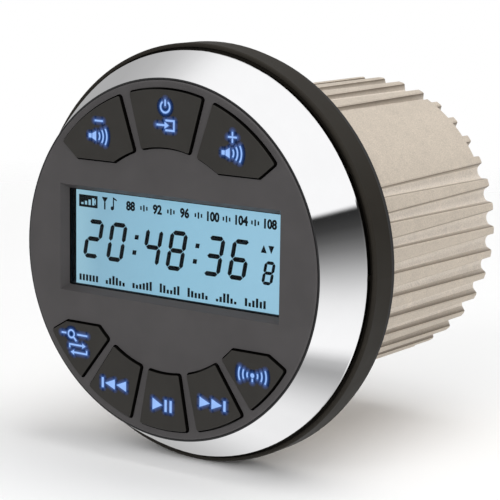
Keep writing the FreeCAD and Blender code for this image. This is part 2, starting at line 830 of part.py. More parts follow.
def ribbon_bend(y, z, start, turn):
    """Curved piece of the ribbon about (y, z), from start degrees over turn degrees, seen from +X."""
    outer = RIBBON_BEND_R + RIBBON_T / 2
    inner = RIBBON_BEND_R - RIBBON_T / 2
    angles = (start, start + turn / 2, start + turn)
    places = [polar(outer, angle) for angle in angles] + [polar(inner, angle) for angle in reversed(angles)]
    points = [Vector(-RIBBON_W / 2, y + across, z + up) for across, up in places]
    edges = [
        Part.Arc(points[0], points[1], points[2]).toShape(),
        Part.makeLine(points[2], points[3]),
        Part.Arc(points[3], points[4], points[5]).toShape(),
        Part.makeLine(points[5], points[0]),
    ]
    return Part.Face(Part.Wire(edges)).extrude(Vector(RIBBON_W, 0, 0))


def ribbon_cable():
    """Flat cable: straight through both walls, an S-bend up to the main board's header, then straight."""
    rise = main_header_z - HEADER_Z
    turn = math.degrees(math.acos((RIBBON_BEND_R - rise / 2) / RIBBON_BEND_R))
    bend_end = cavity_front + 2 * RIBBON_BEND_R * math.sin(math.radians(turn))
    first = block(RIBBON_W, RIBBON_T, header_back, cavity_front, 0.0, HEADER_Z)
    rising = ribbon_bend(cavity_front, HEADER_Z + RIBBON_BEND_R, -90.0, turn)
    levelling = ribbon_bend(bend_end, main_header_z - RIBBON_BEND_R, 90.0, turn)
    last = block(RIBBON_W, RIBBON_T, bend_end, MAIN_HEADER_Y, 0.0, main_header_z)
    return single(fused([first, rising, levelling, last]))


# Finned body

def valley_outline(angle, y):
    """Closed outline of the valley after the fin at angle, with a hollow floor and chamfered lips.

    The casting's draft makes the valley narrower and shallower towards the panel.
    """
    pitch = 360.0 / FIN_COUNT
    draft = (BODY_L - y) * math.tan(math.radians(FIN_DRAFT))
    side = FIN_TIP_W / 2 + draft
    root_r = FIN_ROOT_R + draft
    share = (FIN_TIP_R - root_r) / FIN_H
    foot_r = root_r + FIN_FOOT_H * share
    foot_side = side + (FIN_FOOT_W - FIN_TIP_W) / 2 * share

    def at(radius, offset, fin_angle):
        """Point at that radius, offset sideways from the middle line of the fin at fin_angle."""
        x, z = polar(radius, fin_angle + math.degrees(math.asin(offset / radius)))
        return Vector(x, y, z)

    points = [
        at(foot_r, foot_side, angle),
        at(FIN_TIP_R - FIN_EDGE, side, angle),
        at(FIN_TIP_R + FIN_EDGE, side - 2 * FIN_EDGE, angle),
        at(FIN_TIP_R + FIN_EDGE, 2 * FIN_EDGE - side, angle + pitch),
        at(FIN_TIP_R - FIN_EDGE, -side, angle + pitch),
        at(foot_r, -foot_side, angle + pitch),
    ]
    edges = [Part.makeLine(points[k], points[k + 1]) for k in range(5)]
    edges.append(Part.Arc(points[5], at(root_r, 0.0, angle + pitch / 2), points[0]).toShape())
    return Part.Wire(edges)


def fin_valleys():
    """Valleys between all fins, stopped where the smooth land runs."""
    valleys = []
    for k in range(FIN_COUNT):
        angle = FIN_TURN + k * 360.0 / FIN_COUNT
        ends = [valley_outline(angle, 0.0), valley_outline(angle, BODY_L)]
        valleys.append(Part.makeLoft(ends, True, True))
    land_end = BODY_L - LAND_STOP
    land = wedge(LAND_ANGLE, LAND_SPAN, 0.0, 0.0, land_end)
    return [valley.cut(land) for valley in valleys]


def guide_rails():
    """Card guides on both sides of the cavity that take the edges of the main board."""
    height = BOARD_T + 2 * RAIL_H
    middle = MAIN_BOARD_Z - BOARD_T / 2
    back = MAIN_BOARD_Y + MAIN_BOARD_L
    rails = block(2 * FIN_ROOT_R, height, cavity_front, back, 0.0, middle)
    rails = rails.cut(block(MAIN_BOARD_W - 2 * RAIL_BITE, height, cavity_front, back, 0.0, middle))
    rails = rails.common(cylinder((CAVITY_R + FIN_ROOT_R) / 2, cavity_front, back))
    slot_w = MAIN_BOARD_W + 2 * RAIL_FIT
    slot_h = BOARD_T + 2 * RAIL_FIT
    return rails.cut(block(slot_w, slot_h, cavity_front, back, 0.0, middle))


def heatsink_body():
    finned = bored(cylinder(FIN_TIP_R, 0.0, BODY_L), fin_valleys())
    neck = cylinder(collar_r - COLLAR_NECK_D, floor_back, COLLAR_L)
    collar = cylinder(collar_r, 0.0, COLLAR_L)
    body = fused([finned, neck, collar])
    edge_cut = turned([
        (FIN_TIP_R - BODY_EDGE, BODY_L),
        (FIN_TIP_R + BODY_EDGE, BODY_L),
        (FIN_TIP_R + BODY_EDGE, BODY_L - 2 * BODY_EDGE),
    ])
    recess = cylinder(cover_r + COVER_FIT, seat_y, BODY_L)
    body = bored(body, [edge_cut, recess, cylinder(CAVITY_R, cavity_front, seat_y)])
    inside = [guide_rails()]
    for x, z in stud_places():
        inside.append(cylinder(STUD_BOSS_R, seat_y - STUD_DEPTH - STUD_R, seat_y, x, z))
    for x, z in clamp_places():
        inside.append(cylinder(CLAMP_BOSS_R, cavity_front - FRONT_WALL_T / 2, chip_back - CLAMP_NIP, x, z))
    cuts = [ribbon_slot(floor_back, cavity_front)]
    seal_out = BODY_SEAL_R + BODY_SEAL_W / 2 + SEAL_FIT
    seal_in = BODY_SEAL_R - BODY_SEAL_W / 2 - SEAL_FIT
    cuts.append(tube(seal_out, seal_in, floor_back, floor_back + BODY_SEAL_T))
    body_hole_l = BODY_SCREW_L - FLOOR_T + HOLE_RUNOUT
    for x, z in body_screw_places():
        cuts.append(cylinder(SCREW_R + THREAD_GAP, floor_back, floor_back + body_hole_l, x, z))
    clamp_hole_front = clamp_back - CLAMP_SCREW_L - HOLE_RUNOUT
    for x, z in clamp_places():
        cuts.append(cylinder(SCREW_R + THREAD_GAP, clamp_hole_front, chip_back, x, z))
    cover_hole_l = COVER_SCREW_L - COVER_T - REAR_SEAL_T + HOLE_RUNOUT
    for x, z in cover_screw_places():
        cuts.append(cylinder(SCREW_R + THREAD_GAP, seat_y - cover_hole_l, seat_y, x, z))
    for x, z in stud_places():
        cuts.append(cylinder(STUD_R, seat_y - STUD_DEPTH, seat_y, x, z))
    return single(bored(fused([body] + inside), cuts))


def body_seal():
    outer = BODY_SEAL_R + BODY_SEAL_W / 2
    inner = BODY_SEAL_R - BODY_SEAL_W / 2
    return single(tube(outer, inner, floor_back, floor_back + BODY_SEAL_T))


# Amplifier

def thermal_pad():
    return block(CHIP_W, CHIP_H, cavity_front, chip_front, 0.0, CHIP_Z)


def amplifier_chip():
    return block(CHIP_W, CHIP_H, chip_front, chip_back, 0.0, CHIP_Z)


def amplifier_leads():
    """Row of leads from the foot of the chip straight down to the main board."""
    chip_foot = CHIP_Z - CHIP_H / 2
    height = chip_foot - MAIN_BOARD_Z
    leads = []
    for k in range(LEAD_COUNT):
        x = (k - (LEAD_COUNT - 1) / 2) * LEAD_PITCH
        leads.append(standing_block(LEAD_W, LEAD_W, height, x, lead_y, MAIN_BOARD_Z))
    return Part.makeCompound(leads)


def clamp_bar():
    bar = rounded_block(CLAMP_L, CLAMP_W, CLAMP_T, chip_back, clamp_back, 0.0, CHIP_Z)
    holes = [cylinder(SCREW_R + SCREW_CLEARANCE, chip_back, clamp_back, x, z) for x, z in clamp_places()]
    return single(bored(bar, holes))


def clamp_screws():
    return screws(clamp_places(), clamp_back, CLAMP_SCREW_L, -1)


# Main board

def main_board():
    middle_y = MAIN_BOARD_Y + MAIN_BOARD_L / 2
    return standing_block(MAIN_BOARD_W, MAIN_BOARD_L, BOARD_T, 0.0, middle_y, board_under)


def upright(radius, height, x, y):
    return Part.makeCylinder(radius, height, Vector(x, y, MAIN_BOARD_Z), Z_AXIS)


def bulk_capacitors():
    cans = []
    for x in CAPACITOR_X:
        can = upright(CAPACITOR_R, CAPACITOR_H, x, CAPACITOR_Y)
        middle = Vector(x, CAPACITOR_Y, MAIN_BOARD_Z + CAPACITOR_GROOVE_H)
        groove = Part.makeTorus(CAPACITOR_R, CAPACITOR_GROOVE_R, middle, Z_AXIS)
        cans.append(single(can.cut(groove)))
    return Part.makeCompound(cans)


def power_choke():
    """Ring core, flat on the board, clear of its winding."""
    ring = upright(CHOKE_R, CHOKE_H, CHOKE_X, CHOKE_Y).cut(upright(CHOKE_BORE_R, CHOKE_H, CHOKE_X, CHOKE_Y))
    ring.translate(Vector(0, 0, CHOKE_WIRE_W + CHOKE_WIRE_GAP))
    return single(ring)


def choke_winding():
    """Turns of wire round the ring core, each a closed rectangular hoop standing on the board."""
    width = CHOKE_R - CHOKE_BORE_R + 2 * CHOKE_WIRE_GAP
    height = CHOKE_H + 2 * CHOKE_WIRE_GAP
    middle = (CHOKE_R + CHOKE_BORE_R) / 2
    hoops = []
    for k in range(CHOKE_TURNS):
        outer = standing_block(width + 2 * CHOKE_WIRE_W, CHOKE_WIRE_W, height + 2 * CHOKE_WIRE_W,
                               middle, 0.0, MAIN_BOARD_Z)
        hole = standing_block(width, CHOKE_WIRE_W, height, middle, 0.0, MAIN_BOARD_Z + CHOKE_WIRE_W)
        hoop = outer.cut(hole)
        hoop.rotate(Vector(0, 0, 0), Z_AXIS, 360.0 * k / CHOKE_TURNS)
        hoop.translate(Vector(CHOKE_X, CHOKE_Y, 0))
        hoops.append(single(hoop))
    return Part.makeCompound(hoops)


def tuner_can():
    return standing_block(TUNER_W, TUNER_L, TUNER_H, TUNER_X, TUNER_Y, MAIN_BOARD_Z)


def wireless_module():
    return standing_block(RADIO_W, RADIO_L, RADIO_H, RADIO_X, RADIO_Y, MAIN_BOARD_Z)


def processor_chip():
    return standing_block(PROCESSOR_W, PROCESSOR_W, PROCESSOR_H, 0.0, PROCESSOR_Y, board_under - PROCESSOR_H)


def link_header():
    """Right-angle header that joins the main board to the rear board."""
    middle_y = REAR_BOARD_Y - LINK_L / 2
    return standing_block(LINK_W, LINK_L, LINK_H, 0.0, middle_y, MAIN_BOARD_Z)


# Rear board and sockets

def stud_relief(y0, y1):
    """Room round the stud bosses inside the cavity."""
    return [cylinder(STUD_BOSS_R + REAR_BOARD_FIT, y0, y1, x, z) for x, z in stud_places()]


def rear_board():
    disc = cylinder(CAVITY_R - REAR_BOARD_FIT, REAR_BOARD_Y, rear_board_back)
    cuts = stud_relief(REAR_BOARD_Y, rear_board_back)
    for x, z in post_places():
        cuts.append(cylinder(SMALL_SCREW_R + SCREW_CLEARANCE, REAR_BOARD_Y, rear_board_back, x, z))
    return single(bored(disc, cuts))


def post_screws():
    return small_screws(post_places(), REAR_BOARD_Y, POST_SCREW_L, 1)


def power_pin_places():
    places = []
    for row in range(POWER_ROWS):
        for column in range(POWER_COLUMNS):
            x = (column - (POWER_COLUMNS - 1) / 2) * POWER_PIN_PITCH_X
            z = POWER_Z + (row - (POWER_ROWS - 1) / 2) * POWER_PIN_PITCH_Z
            places.append((x, z))
    return places


def power_socket():
    shell = rounded_block(POWER_W, POWER_H, POWER_WALL, rear_board_back, power_back, 0.0, POWER_Z)
    latch_z = POWER_Z + POWER_H / 2 + LATCH_H / 2
    latch = block(LATCH_W, LATCH_H, power_back - LATCH_L, power_back, 0.0, latch_z)
    latch = latch.makeChamfer(LATCH_H / 2, [edge for edge in edges_at(latch, power_back)
                                            if all(v.Z > latch_z for v in edge.Vertexes)])
    inner_w = POWER_W - 2 * POWER_WALL
    inner_h = POWER_H - 2 * POWER_WALL
    foot_y = power_back - POWER_DEPTH
    cuts = [rounded_block(inner_w, inner_h, POWER_WALL / 2, foot_y, power_back, 0.0, POWER_Z)]
    for x, z in power_pin_places():
        cuts.append(cylinder(POWER_PIN_R + THREAD_GAP, rear_board_back, power_back, x, z))
    return single(bored(fused([shell, latch]), cuts))


def power_pins():
    tip_y = power_back - POWER_DEPTH + POWER_PIN_L
    return Part.makeCompound([cylinder(POWER_PIN_R, rear_board_back, tip_y, x, z)
                              for x, z in power_pin_places()])


def rca_base():
    size = RCA_PITCH + 2 * RCA_MARGIN
    return rounded_block(size, size, RCA_MARGIN, rear_board_back, rca_back, RCA_X, RCA_Z)


def rca_sleeves():
    inner = RCA_SLEEVE_R - RCA_SLEEVE_T
    return Part.makeCompound([single(tube(RCA_SLEEVE_R, inner, rca_back, rca_back + RCA_SLEEVE_L, x, z))
                              for x, z in rca_places()])


def rca_inserts(places):
    """Insulating cores inside the sleeves, bored for the plug's centre pin."""
    radius = RCA_SLEEVE_R - RCA_SLEEVE_T - RCA_INSERT_FIT
    tip_y = rca_back + RCA_SLEEVE_L - RCA_INSERT_SETBACK
    cores = []
    for x, z in places:
        core = cylinder(radius, rca_back, tip_y, x, z)
        cores.append(single(core.cut(cylinder(RCA_HOLE_R, tip_y - RCA_HOLE_L, tip_y, x, z))))
    return Part.makeCompound(cores)


def rca_left_inserts():
    return rca_inserts([place for place in rca_places() if place[0] > RCA_X])


def rca_right_inserts():
    return rca_inserts([place for place in rca_places() if place[0] < RCA_X])


def usb_shell():
    shell = block(USB_W, USB_H, rear_board_back, usb_back, USB_X, USB_Z)
    hollow = block(USB_W - 2 * USB_WALL, USB_H - 2 * USB_WALL, rear_board_back, usb_back, USB_X, USB_Z)
    return single(shell.cut(hollow))


def usb_tongue():
    """Plug guide inside the shell, hanging off its back block."""
    inset = 2 * (USB_WALL + SEAL_FIT)
    core_end = rear_board_back + USB_CORE_L
    core = block(USB_W - inset, USB_H - inset, rear_board_back, core_end, USB_X, USB_Z)
    tongue_end = usb_back - USB_TONGUE_SETBACK
    tongue_z = USB_Z + USB_TONGUE_T / 2
    tongue = block(USB_TONGUE_W, USB_TONGUE_T, rear_board_back, tongue_end, USB_X, tongue_z)
    return single(fused([core, tongue]))


def aerial_socket():
    barrel = cylinder(AERIAL_R, rear_board_back, aerial_back, AERIAL_X, AERIAL_Z)
    bore = cylinder(AERIAL_BORE_R, aerial_back - AERIAL_DEPTH, aerial_back, AERIAL_X, AERIAL_Z)
    return single(barrel.cut(bore))


def aerial_contact():
    """Insulating disc at the foot of the barrel with the centre contact standing on it."""
    foot_y = aerial_back - AERIAL_DEPTH
    disc_y = foot_y + AERIAL_DISC_T
    disc = cylinder(AERIAL_BORE_R - RCA_INSERT_FIT, foot_y, disc_y, AERIAL_X, AERIAL_Z)
    stem = cylinder(AERIAL_CONTACT_R, disc_y, disc_y + AERIAL_CONTACT_L, AERIAL_X, AERIAL_Z)
    hole = cylinder(AERIAL_CONTACT_HOLE_R, disc_y, disc_y + AERIAL_CONTACT_L, AERIAL_X, AERIAL_Z)
    return single(fused([disc, stem]).cut(hole))


# Rear cover

def socket_openings(fit, y0, y1):
    """Clearance for every socket in the cover and in the seal behind it."""
    size = RCA_PITCH + 2 * RCA_MARGIN + 2 * fit
    return [
        rounded_block(POWER_W + 2 * fit, POWER_H + 2 * fit, POWER_WALL + fit, y0, y1, 0.0, POWER_Z),
        rounded_block(size, size, RCA_MARGIN + fit, y0, y1, RCA_X, RCA_Z),
        block(USB_W + 2 * fit, USB_H + 2 * fit, y0, y1, USB_X, USB_Z),
        cylinder(AERIAL_R + fit, y0, y1, AERIAL_X, AERIAL_Z),
    ]


def rim_holes(y0, y1):
    """Clearance for the cover screws and for the bracket studs."""
    holes = [cylinder(SCREW_R + SCREW_CLEARANCE, y0, y1, x, z) for x, z in cover_screw_places()]
    return holes + [cylinder(STUD_R + STUD_CLEARANCE, y0, y1, x, z) for x, z in stud_places()]


def rear_seal():
    parts = [tube(cover_r, CAVITY_R, seat_y, cover_front)]
    parts += [cylinder(STUD_BOSS_R, seat_y, cover_front, x, z) for x, z in stud_places()]
    gasket = fused(parts).common(cylinder(cover_r, seat_y, cover_front))
    return single(bored(gasket, rim_holes(seat_y, cover_front)))


def rear_cover():
    disc = cylinder(cover_r, cover_front, cover_back)
    disc = disc.makeChamfer(COVER_EDGE, edges_at(disc, cover_back))
    posts = [cylinder(POST_R, rear_board_back, cover_front + COVER_T / 2, x, z) for x, z in post_places()]
    cuts = socket_openings(SOCKET_FIT, cover_front, cover_back)
    cuts += rim_holes(cover_front, cover_back)
    post_hole_end = rear_board_back + POST_SCREW_L - BOARD_T + HOLE_RUNOUT
    for x, z in post_places():
        cuts.append(cylinder(SMALL_SCREW_R + THREAD_GAP, rear_board_back, post_hole_end, x, z))
    return single(bored(fused([disc] + posts), cuts))


def socket_seal():
    """Soft sheet pressed against the inside of the cover, snug round every socket."""
    front = cover_front - SOCKET_SEAL_T
    disc = cylinder(CAVITY_R - REAR_BOARD_FIT, front, cover_front)
    cuts = socket_openings(SEAL_FIT, front, cover_front) + stud_relief(front, cover_front)
    cuts += [cylinder(POST_R + SEAL_FIT, front, cover_front, x, z) for x, z in post_places()]
    return single(bored(disc, cuts))


def cover_screws():
    return screws(cover_screw_places(), cover_back, COVER_SCREW_L, -1)


PIECES = (
    front_bezel, trim_ring, front_housing, face_seal, panel_gasket,
    display_lens, lcd_glass, light_guide, backlight_leds, lcd_frame, contact_strip,
    keypad_mat, front_board, key_leds, board_screws, bezel_screws, body_screws,
    front_header, main_header, ribbon_cable,
    heatsink_body, body_seal, thermal_pad, amplifier_chip, amplifier_leads, clamp_bar, clamp_screws,
    main_board, bulk_capacitors, power_choke, choke_winding,
    tuner_can, wireless_module, processor_chip, link_header,
    rear_board, post_screws, power_socket, power_pins,
    rca_base, rca_sleeves, rca_left_inserts, rca_right_inserts,
    usb_shell, usb_tongue, aerial_socket, aerial_contact,
    rear_seal, rear_cover, socket_seal, cover_screws,
)


def build():
    """Every piece by the name of its node."""
    shapes = {piece.__name__: piece() for piece in PIECES}
    for name in key_layout():
        shapes[name] = key(name)
    return shapes


def export(shapes):
    os.makedirs("parts", exist_ok=True)
    for name, shape in shapes.items():
        shape.exportStep("parts/" + name + ".step")
    print(len(shapes), "parts written")


shapes = build()
export(shapes)
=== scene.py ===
import json
import math
import bmesh
import bpy
from mathutils import Matrix, Vector


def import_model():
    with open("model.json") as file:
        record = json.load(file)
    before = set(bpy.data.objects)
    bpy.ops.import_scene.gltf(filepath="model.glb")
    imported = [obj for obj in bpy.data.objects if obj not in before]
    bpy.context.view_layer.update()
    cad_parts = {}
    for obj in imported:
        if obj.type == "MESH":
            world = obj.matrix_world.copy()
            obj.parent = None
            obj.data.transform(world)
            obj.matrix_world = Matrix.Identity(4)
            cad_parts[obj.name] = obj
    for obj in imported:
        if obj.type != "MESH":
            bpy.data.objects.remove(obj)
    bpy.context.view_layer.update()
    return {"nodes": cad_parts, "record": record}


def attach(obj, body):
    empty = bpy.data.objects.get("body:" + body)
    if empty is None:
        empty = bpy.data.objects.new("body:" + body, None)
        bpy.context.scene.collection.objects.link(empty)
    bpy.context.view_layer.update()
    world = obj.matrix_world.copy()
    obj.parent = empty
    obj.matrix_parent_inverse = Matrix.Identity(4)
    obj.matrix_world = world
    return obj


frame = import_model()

# Lengths are written in millimetres and turned into metres where a mesh is made.
# The face looks along -Y, +Z is up and +X is to the right for someone facing it.
MM = 0.001

# Camera, fitted to the photograph
CAMERA_AZIMUTH = 37.9
CAMERA_ELEVATION = 10.55
CAMERA_ROLL = 0.81
CAMERA_TURN = 2.4
CAMERA_TILT = 0.35
CAMERA_DISTANCE = 474.1
CAMERA_LENS = 144.76
CAMERA_SENSOR = 36.0
CAMERA_NEAR = 10.0
FACE_Y = -21.0
COVER_Y = 70.5

# Floor and light
FLOOR_Z = -50.8
FLOOR_R = 620.0
FADE_START = 220.0
FADE_END = 550.0
FLOOR_GREY = 0.93
SKY_STRENGTH = 0.62
LAMP_TARGET = (0.0, 0.02, 0.0)

# Window and lens
WINDOW_W = 62.9
WINDOW_H = 23.9
WINDOW_Z = 2.45
LENS_GAP = 0.1
MASK_T = 0.08
MASK_GAP = 0.02
MASK_FRONT = -18.67
MASK_BACK = -16.65

# Display
MARK_FRONT = -16.5
MARK_BACK = -16.42
SIGN_LIFT = 0.01
TOP_ROW_Z = 11.3
MAST_W = 0.4
NOTE_W = 0.3
LCD_REACH = 31.0
SLANT = 0.19
BORDER_REACH = 32.4
BORDER_LEFT = -30.6
BORDER_SPARE = 0.5
BORDER_FRONT = -16.56
BORDER_BACK = -16.5

# Clock
CLOCK = "20:48:36"
CLOCK_X = -28.6
CLOCK_Z = -2.7
CLOCK_PITCH = 7.3
CLOCK_W = 5.1
CLOCK_H = 9.7
CLOCK_THICK = 1.1
CLOCK_GAP = 0.12
DOT_RISES = (2.4, 6.2)
DOT_START = 0.5

# Small digit at the right
SMALL_X = 25.0
SMALL_Z = -2.8
SMALL_W = 3.0
SMALL_H = 5.6
SMALL_THICK = 0.75
SMALL_GAP = 0.06

# Tone settings under the clock: heights of the bars of seven charts
TONES = ((5, 5, 5, 5, 5, 5), (3, 5, 7, 6, 4, 3), (4, 3, 4, 5, 6, 7), (7, 6, 3, 3, 6, 7), (7, 5, 4, 4, 5, 3),
         (2, 4, 7, 7, 4, 2), (6, 3, 5, 7, 5, 6))
CHART_X = -29.6
CHART_Z = -8.5
CHART_PITCH = 8.35
BAR_PITCH = 1.05
BAR_W = 0.62
BAR_STEP = 0.31

# Tuning scale above the clock
DIAL = ("88", "92", "96", "100", "104", "108")
DIAL_X = -13.6
DIAL_PITCH = 8.15
DIAL_SIZE = 2.1
DIAL_SQUEEZE = 0.88
DIAL_BOLD = 0.12
NUMERAL_SHARE = 0.7      # a numeral's height as a share of the font's size
NUMERAL_CUTS = 3
TICK_PITCH = 0.9
TICK_HALF_W = 0.2
TICK_H = 1.5
SHORT_TICK_H = 0.9

# Black ring round the face: painted shade for the gap between the face and the bright ring
SHADE_RING_R = 43.07
SHADE_RING_W = 0.5
SHADE_RING_Y = -20.5
SHADE_RING_T = 0.16

# Fins
VALLEY_R = 36.6
TIP_R = 37.4
# Painted shade on the fin flanks, from FOOT_SHADE at FLANK_FOOT_R to EDGE_SHADE at TIP_R
FLANK_FOOT_R = 36.2
FLANK_START = 0.75
FLANK_END = 0.93
VALLEY_LIGHT = (1.30, 1.34, 1.40)
FOOT_SHADE = (0.74, 0.73, 0.72)
EDGE_SHADE = (0.22, 0.19, 0.155)

# Numbers beside the phono sockets
PHONO_PLACES = ((-5.5, 12.0), (-18.5, 12.0), (-5.5, -1.0), (-18.5, -1.0))
PHONO_MIDDLE_X = -12.0
PHONO_SHIFT = 7.6
PHONO_SIZE = 2.6
PHONO_BOLD = 0.04
PRINT_SINK = 0.05
PRINT_T = 0.04

# Legends on the keys
KEY_Y = -21.8
LINE_W = 0.42
BOLD_W = 0.45
HANDLE_W = 0.5
SKIP_HALF = 1.25
PLAY_HALF = 1.45
SIGN_REACH = 1.25
SIGN_GAP = 0.24
CORE_LIFT = 0.05
CORE_EDGE = 0.015
SINK = 0.1
DISC_SIDES = 14
# How far each stage of haze reaches past the lit lines, and how far it stands proud
HAZE_STEPS = ((0.18, 0.040), (0.40, 0.032), (0.65, 0.024), (0.90, 0.016))


# Materials

def link(tree, source, target):
    tree.links.new(source, target)


def node(tree, kind, **inputs):
    """New shader node with the named inputs set."""
    made = tree.nodes.new(kind)
    for key, value in inputs.items():
        made.inputs[key.replace("_", " ")].default_value = value
    return made


def ramp(tree, source, stops):
    """Colour ramp over (position, grey or colour) stops."""
    made = tree.nodes.new("ShaderNodeValToRGB")
    elements = made.color_ramp.elements
    while len(elements) > 1:
        elements.remove(elements[-1])
    for k, (position, value) in enumerate(stops):
        element = elements[0] if k == 0 else elements.new(position)
        element.position = position
        colour = value if isinstance(value, tuple) else (value, value, value)
        element.color = (*colour, 1.0)
    link(tree, source, made.inputs["Fac"])
    return made.outputs["Color"]


def vector_math(tree, operation, first, second=None):
    made = tree.nodes.new("ShaderNodeVectorMath")
    made.operation = operation
    link(tree, first, made.inputs[0])
    if second is not None:
        link(tree, second, made.inputs[1])
    return made


def absolute(tree, source):
    made = tree.nodes.new("ShaderNodeMath")
    made.operation = "ABSOLUTE"
    link(tree, source, made.inputs[0])
    return made.outputs[0]


def split(tree, source):
    """Outputs X, Y and Z of a vector."""
    made = tree.nodes.new("ShaderNodeSeparateXYZ")
    link(tree, source, made.inputs["Vector"])
    return made.outputs


def blended(tree, first, second, factor=1.0, way="MIX"):
    """Mix of two colours; each colour and the factor may be a socket or a plain value."""
    made = tree.nodes.new("ShaderNodeMix")
    made.data_type = "RGBA"
    made.blend_type = way
    for name, value in (("Factor", factor), ("A", first), ("B", second)):
        if isinstance(value, bpy.types.NodeSocket):
            link(tree, value, made.inputs[name])
        else:
            made.inputs[name].default_value = value
    return made.outputs["Result"]


def noise(tree, size, detail=3.0, roughness=0.55, stretch=(1.0, 1.0, 1.0)):
    """Noise whose lumps are about size millimetres across, fixed to the object."""
    coords = tree.nodes.new("ShaderNodeTexCoord")
    mapping = tree.nodes.new("ShaderNodeMapping")
    scale = 1.0 / (size * MM)
    mapping.inputs["Scale"].default_value = [scale * s for s in stretch]
    link(tree, coords.outputs["Object"], mapping.inputs["Vector"])
    made = node(tree, "ShaderNodeTexNoise", Scale=1.0, Detail=detail, Roughness=roughness)
    link(tree, mapping.outputs["Vector"], made.inputs["Vector"])
    return made.outputs["Fac"]


def spread(tree, source, low, high, start=0.3, end=0.7):
    """Map a value between start and end to one between low and high."""
    made = tree.nodes.new("ShaderNodeMapRange")
    made.inputs["From Min"].default_value = start
    made.inputs["From Max"].default_value = end
    made.inputs["To Min"].default_value = low
    made.inputs["To Max"].default_value = high
    link(tree, source, made.inputs["Value"])
    return made.outputs["Result"]


def shaded(colour, factor):
    """The colour times the factor, kept at 1 or below."""
    return tuple(min(1.0, channel * factor) for channel in colour)


def empty_material(name):
    made = bpy.data.materials.new(name)
    made.use_nodes = True
    tree = made.node_tree
    return made, tree, tree.nodes["Principled BSDF"]


def material(name, colour, roughness, metallic=0.0, grain=0.35, bump=0.012, tint=0.08, patch=9.0,
             rough_spread=0.06, stretch=(1.0, 1.0, 1.0), speckle=0.0, specular=0.5, mottle=2.0):
    """Principled material with grain in the surface and slow changes in colour and gloss.

    grain and patch are the sizes of the fine and the slow noise in millimetres, bump is the depth of the
    grain, tint and speckle are how far the colour strays, and mottle is the slow noise's detail.
    """
    made, tree, shader = empty_material(name)
    shader.inputs["Metallic"].default_value = metallic
    shader.inputs["Specular IOR Level"].default_value = specular
    slow = noise(tree, patch, mottle, 0.75)
    tone = ramp(tree, slow, [(0.3, shaded(colour, 1 - tint)), (0.7, shaded(colour, 1 + tint))])
    fine = noise(tree, grain, 4.0, stretch=stretch)
    if speckle:
        dots = noise(tree, grain * 0.7, 2.0)
        shades = ramp(tree, dots, [(0.32, 1 - speckle), (0.5, 1.0), (0.68, 1 + speckle)])
        tone = blended(tree, tone, shades, way="MULTIPLY")
    link(tree, tone, shader.inputs["Base Color"])
    link(tree, spread(tree, slow, max(0.02, roughness - rough_spread), roughness + rough_spread),
         shader.inputs["Roughness"])
    dent = node(tree, "ShaderNodeBump", Strength=1.0, Distance=bump * MM)
    link(tree, fine, dent.inputs["Height"])
    link(tree, dent.outputs["Normal"], shader.inputs["Normal"])
    return made


def painted_wall_shade(made, start, end, depth):
    """Painted shade on what faces away from the front: darker colour and less gloss, full colour where the
    normal's Y passes end.
    """
    tree = made.node_tree
    shader = tree.nodes["Principled BSDF"]
    tone = shader.inputs["Base Color"].links[0].from_socket
    coords = tree.nodes.new("ShaderNodeTexCoord")
    facing = absolute(tree, split(tree, coords.outputs["Normal"])["Y"])
    shade = ramp(tree, facing, [(start, depth), (end, 1.0)])
    link(tree, blended(tree, tone, shade, way="MULTIPLY"), shader.inputs["Base Color"])
    level = shader.inputs["Specular IOR Level"]
    link(tree, spread(tree, facing, 0.0, level.default_value, start, end), level)
    return made


def radial_parts(tree, coords):
    """Distance from the Y axis, and the unit direction away from it."""
    spot = split(tree, coords.outputs["Object"])
    outward = tree.nodes.new("ShaderNodeCombineXYZ")
    link(tree, spot["X"], outward.inputs["X"])
    link(tree, spot["Z"], outward.inputs["Z"])
    reach = vector_math(tree, "LENGTH", outward.outputs[0])
    unit = vector_math(tree, "NORMALIZE", outward.outputs[0])
    return reach.outputs["Value"], unit.outputs[0]


def turned(made):
    """True normals for a piece turned about the Y axis, so that its polish shows no facets or seam."""
    tree = made.node_tree
    coords = tree.nodes.new("ShaderNodeTexCoord")
    unit = radial_parts(tree, coords)[1]
    along = vector_math(tree, "DOT_PRODUCT", coords.outputs["Normal"], unit)
    radial = vector_math(tree, "SCALE", unit)
    link(tree, along.outputs["Value"], radial.inputs["Scale"])
    forward = tree.nodes.new("ShaderNodeCombineXYZ")
    link(tree, split(tree, coords.outputs["Normal"])["Y"], forward.inputs["Y"])
    both = vector_math(tree, "ADD", radial.outputs[0], forward.outputs[0])
    outside = tree.nodes.new("ShaderNodeVectorTransform")
    outside.vector_type = "NORMAL"
    outside.convert_from = "OBJECT"
    outside.convert_to = "WORLD"
    link(tree, both.outputs[0], outside.inputs[0])
    dent = tree.nodes["Principled BSDF"].inputs["Normal"].links[0].from_node
    link(tree, outside.outputs[0], dent.inputs["Normal"])
    return made


def lit(name, colour, strength):
    """Dark moulded material with a lamp behind it, a little uneven."""
    made = material(name, (0.02, 0.02, 0.03), 0.35, grain=0.2, bump=0.004)
    tree = made.node_tree
    shader = tree.nodes["Principled BSDF"]
    slow = noise(tree, 1.4, 1.0)
    glow = ramp(tree, slow, [(0.25, shaded(colour, 0.88)), (0.75, colour)])
    link(tree, glow, shader.inputs["Emission Color"])
    shader.inputs["Emission Strength"].default_value = strength
    return made


def lens_material():
    """Clear acrylic with a faint reflection."""
    made, tree, shader = empty_material("clear_acrylic_look")
    shader.inputs["Base Color"].default_value = (0.93, 0.97, 0.98, 1.0)
    shader.inputs["Transmission Weight"].default_value = 1.0
    shader.inputs["IOR"].default_value = 1.49
    shader.inputs["Specular IOR Level"].default_value = 0.17
    shader.inputs["Specular Tint"].default_value = (0.12, 0.12, 0.12, 1.0)
    link(tree, spread(tree, noise(tree, 6.0, 3.0), 0.0, 0.025), shader.inputs["Roughness"])
    return made


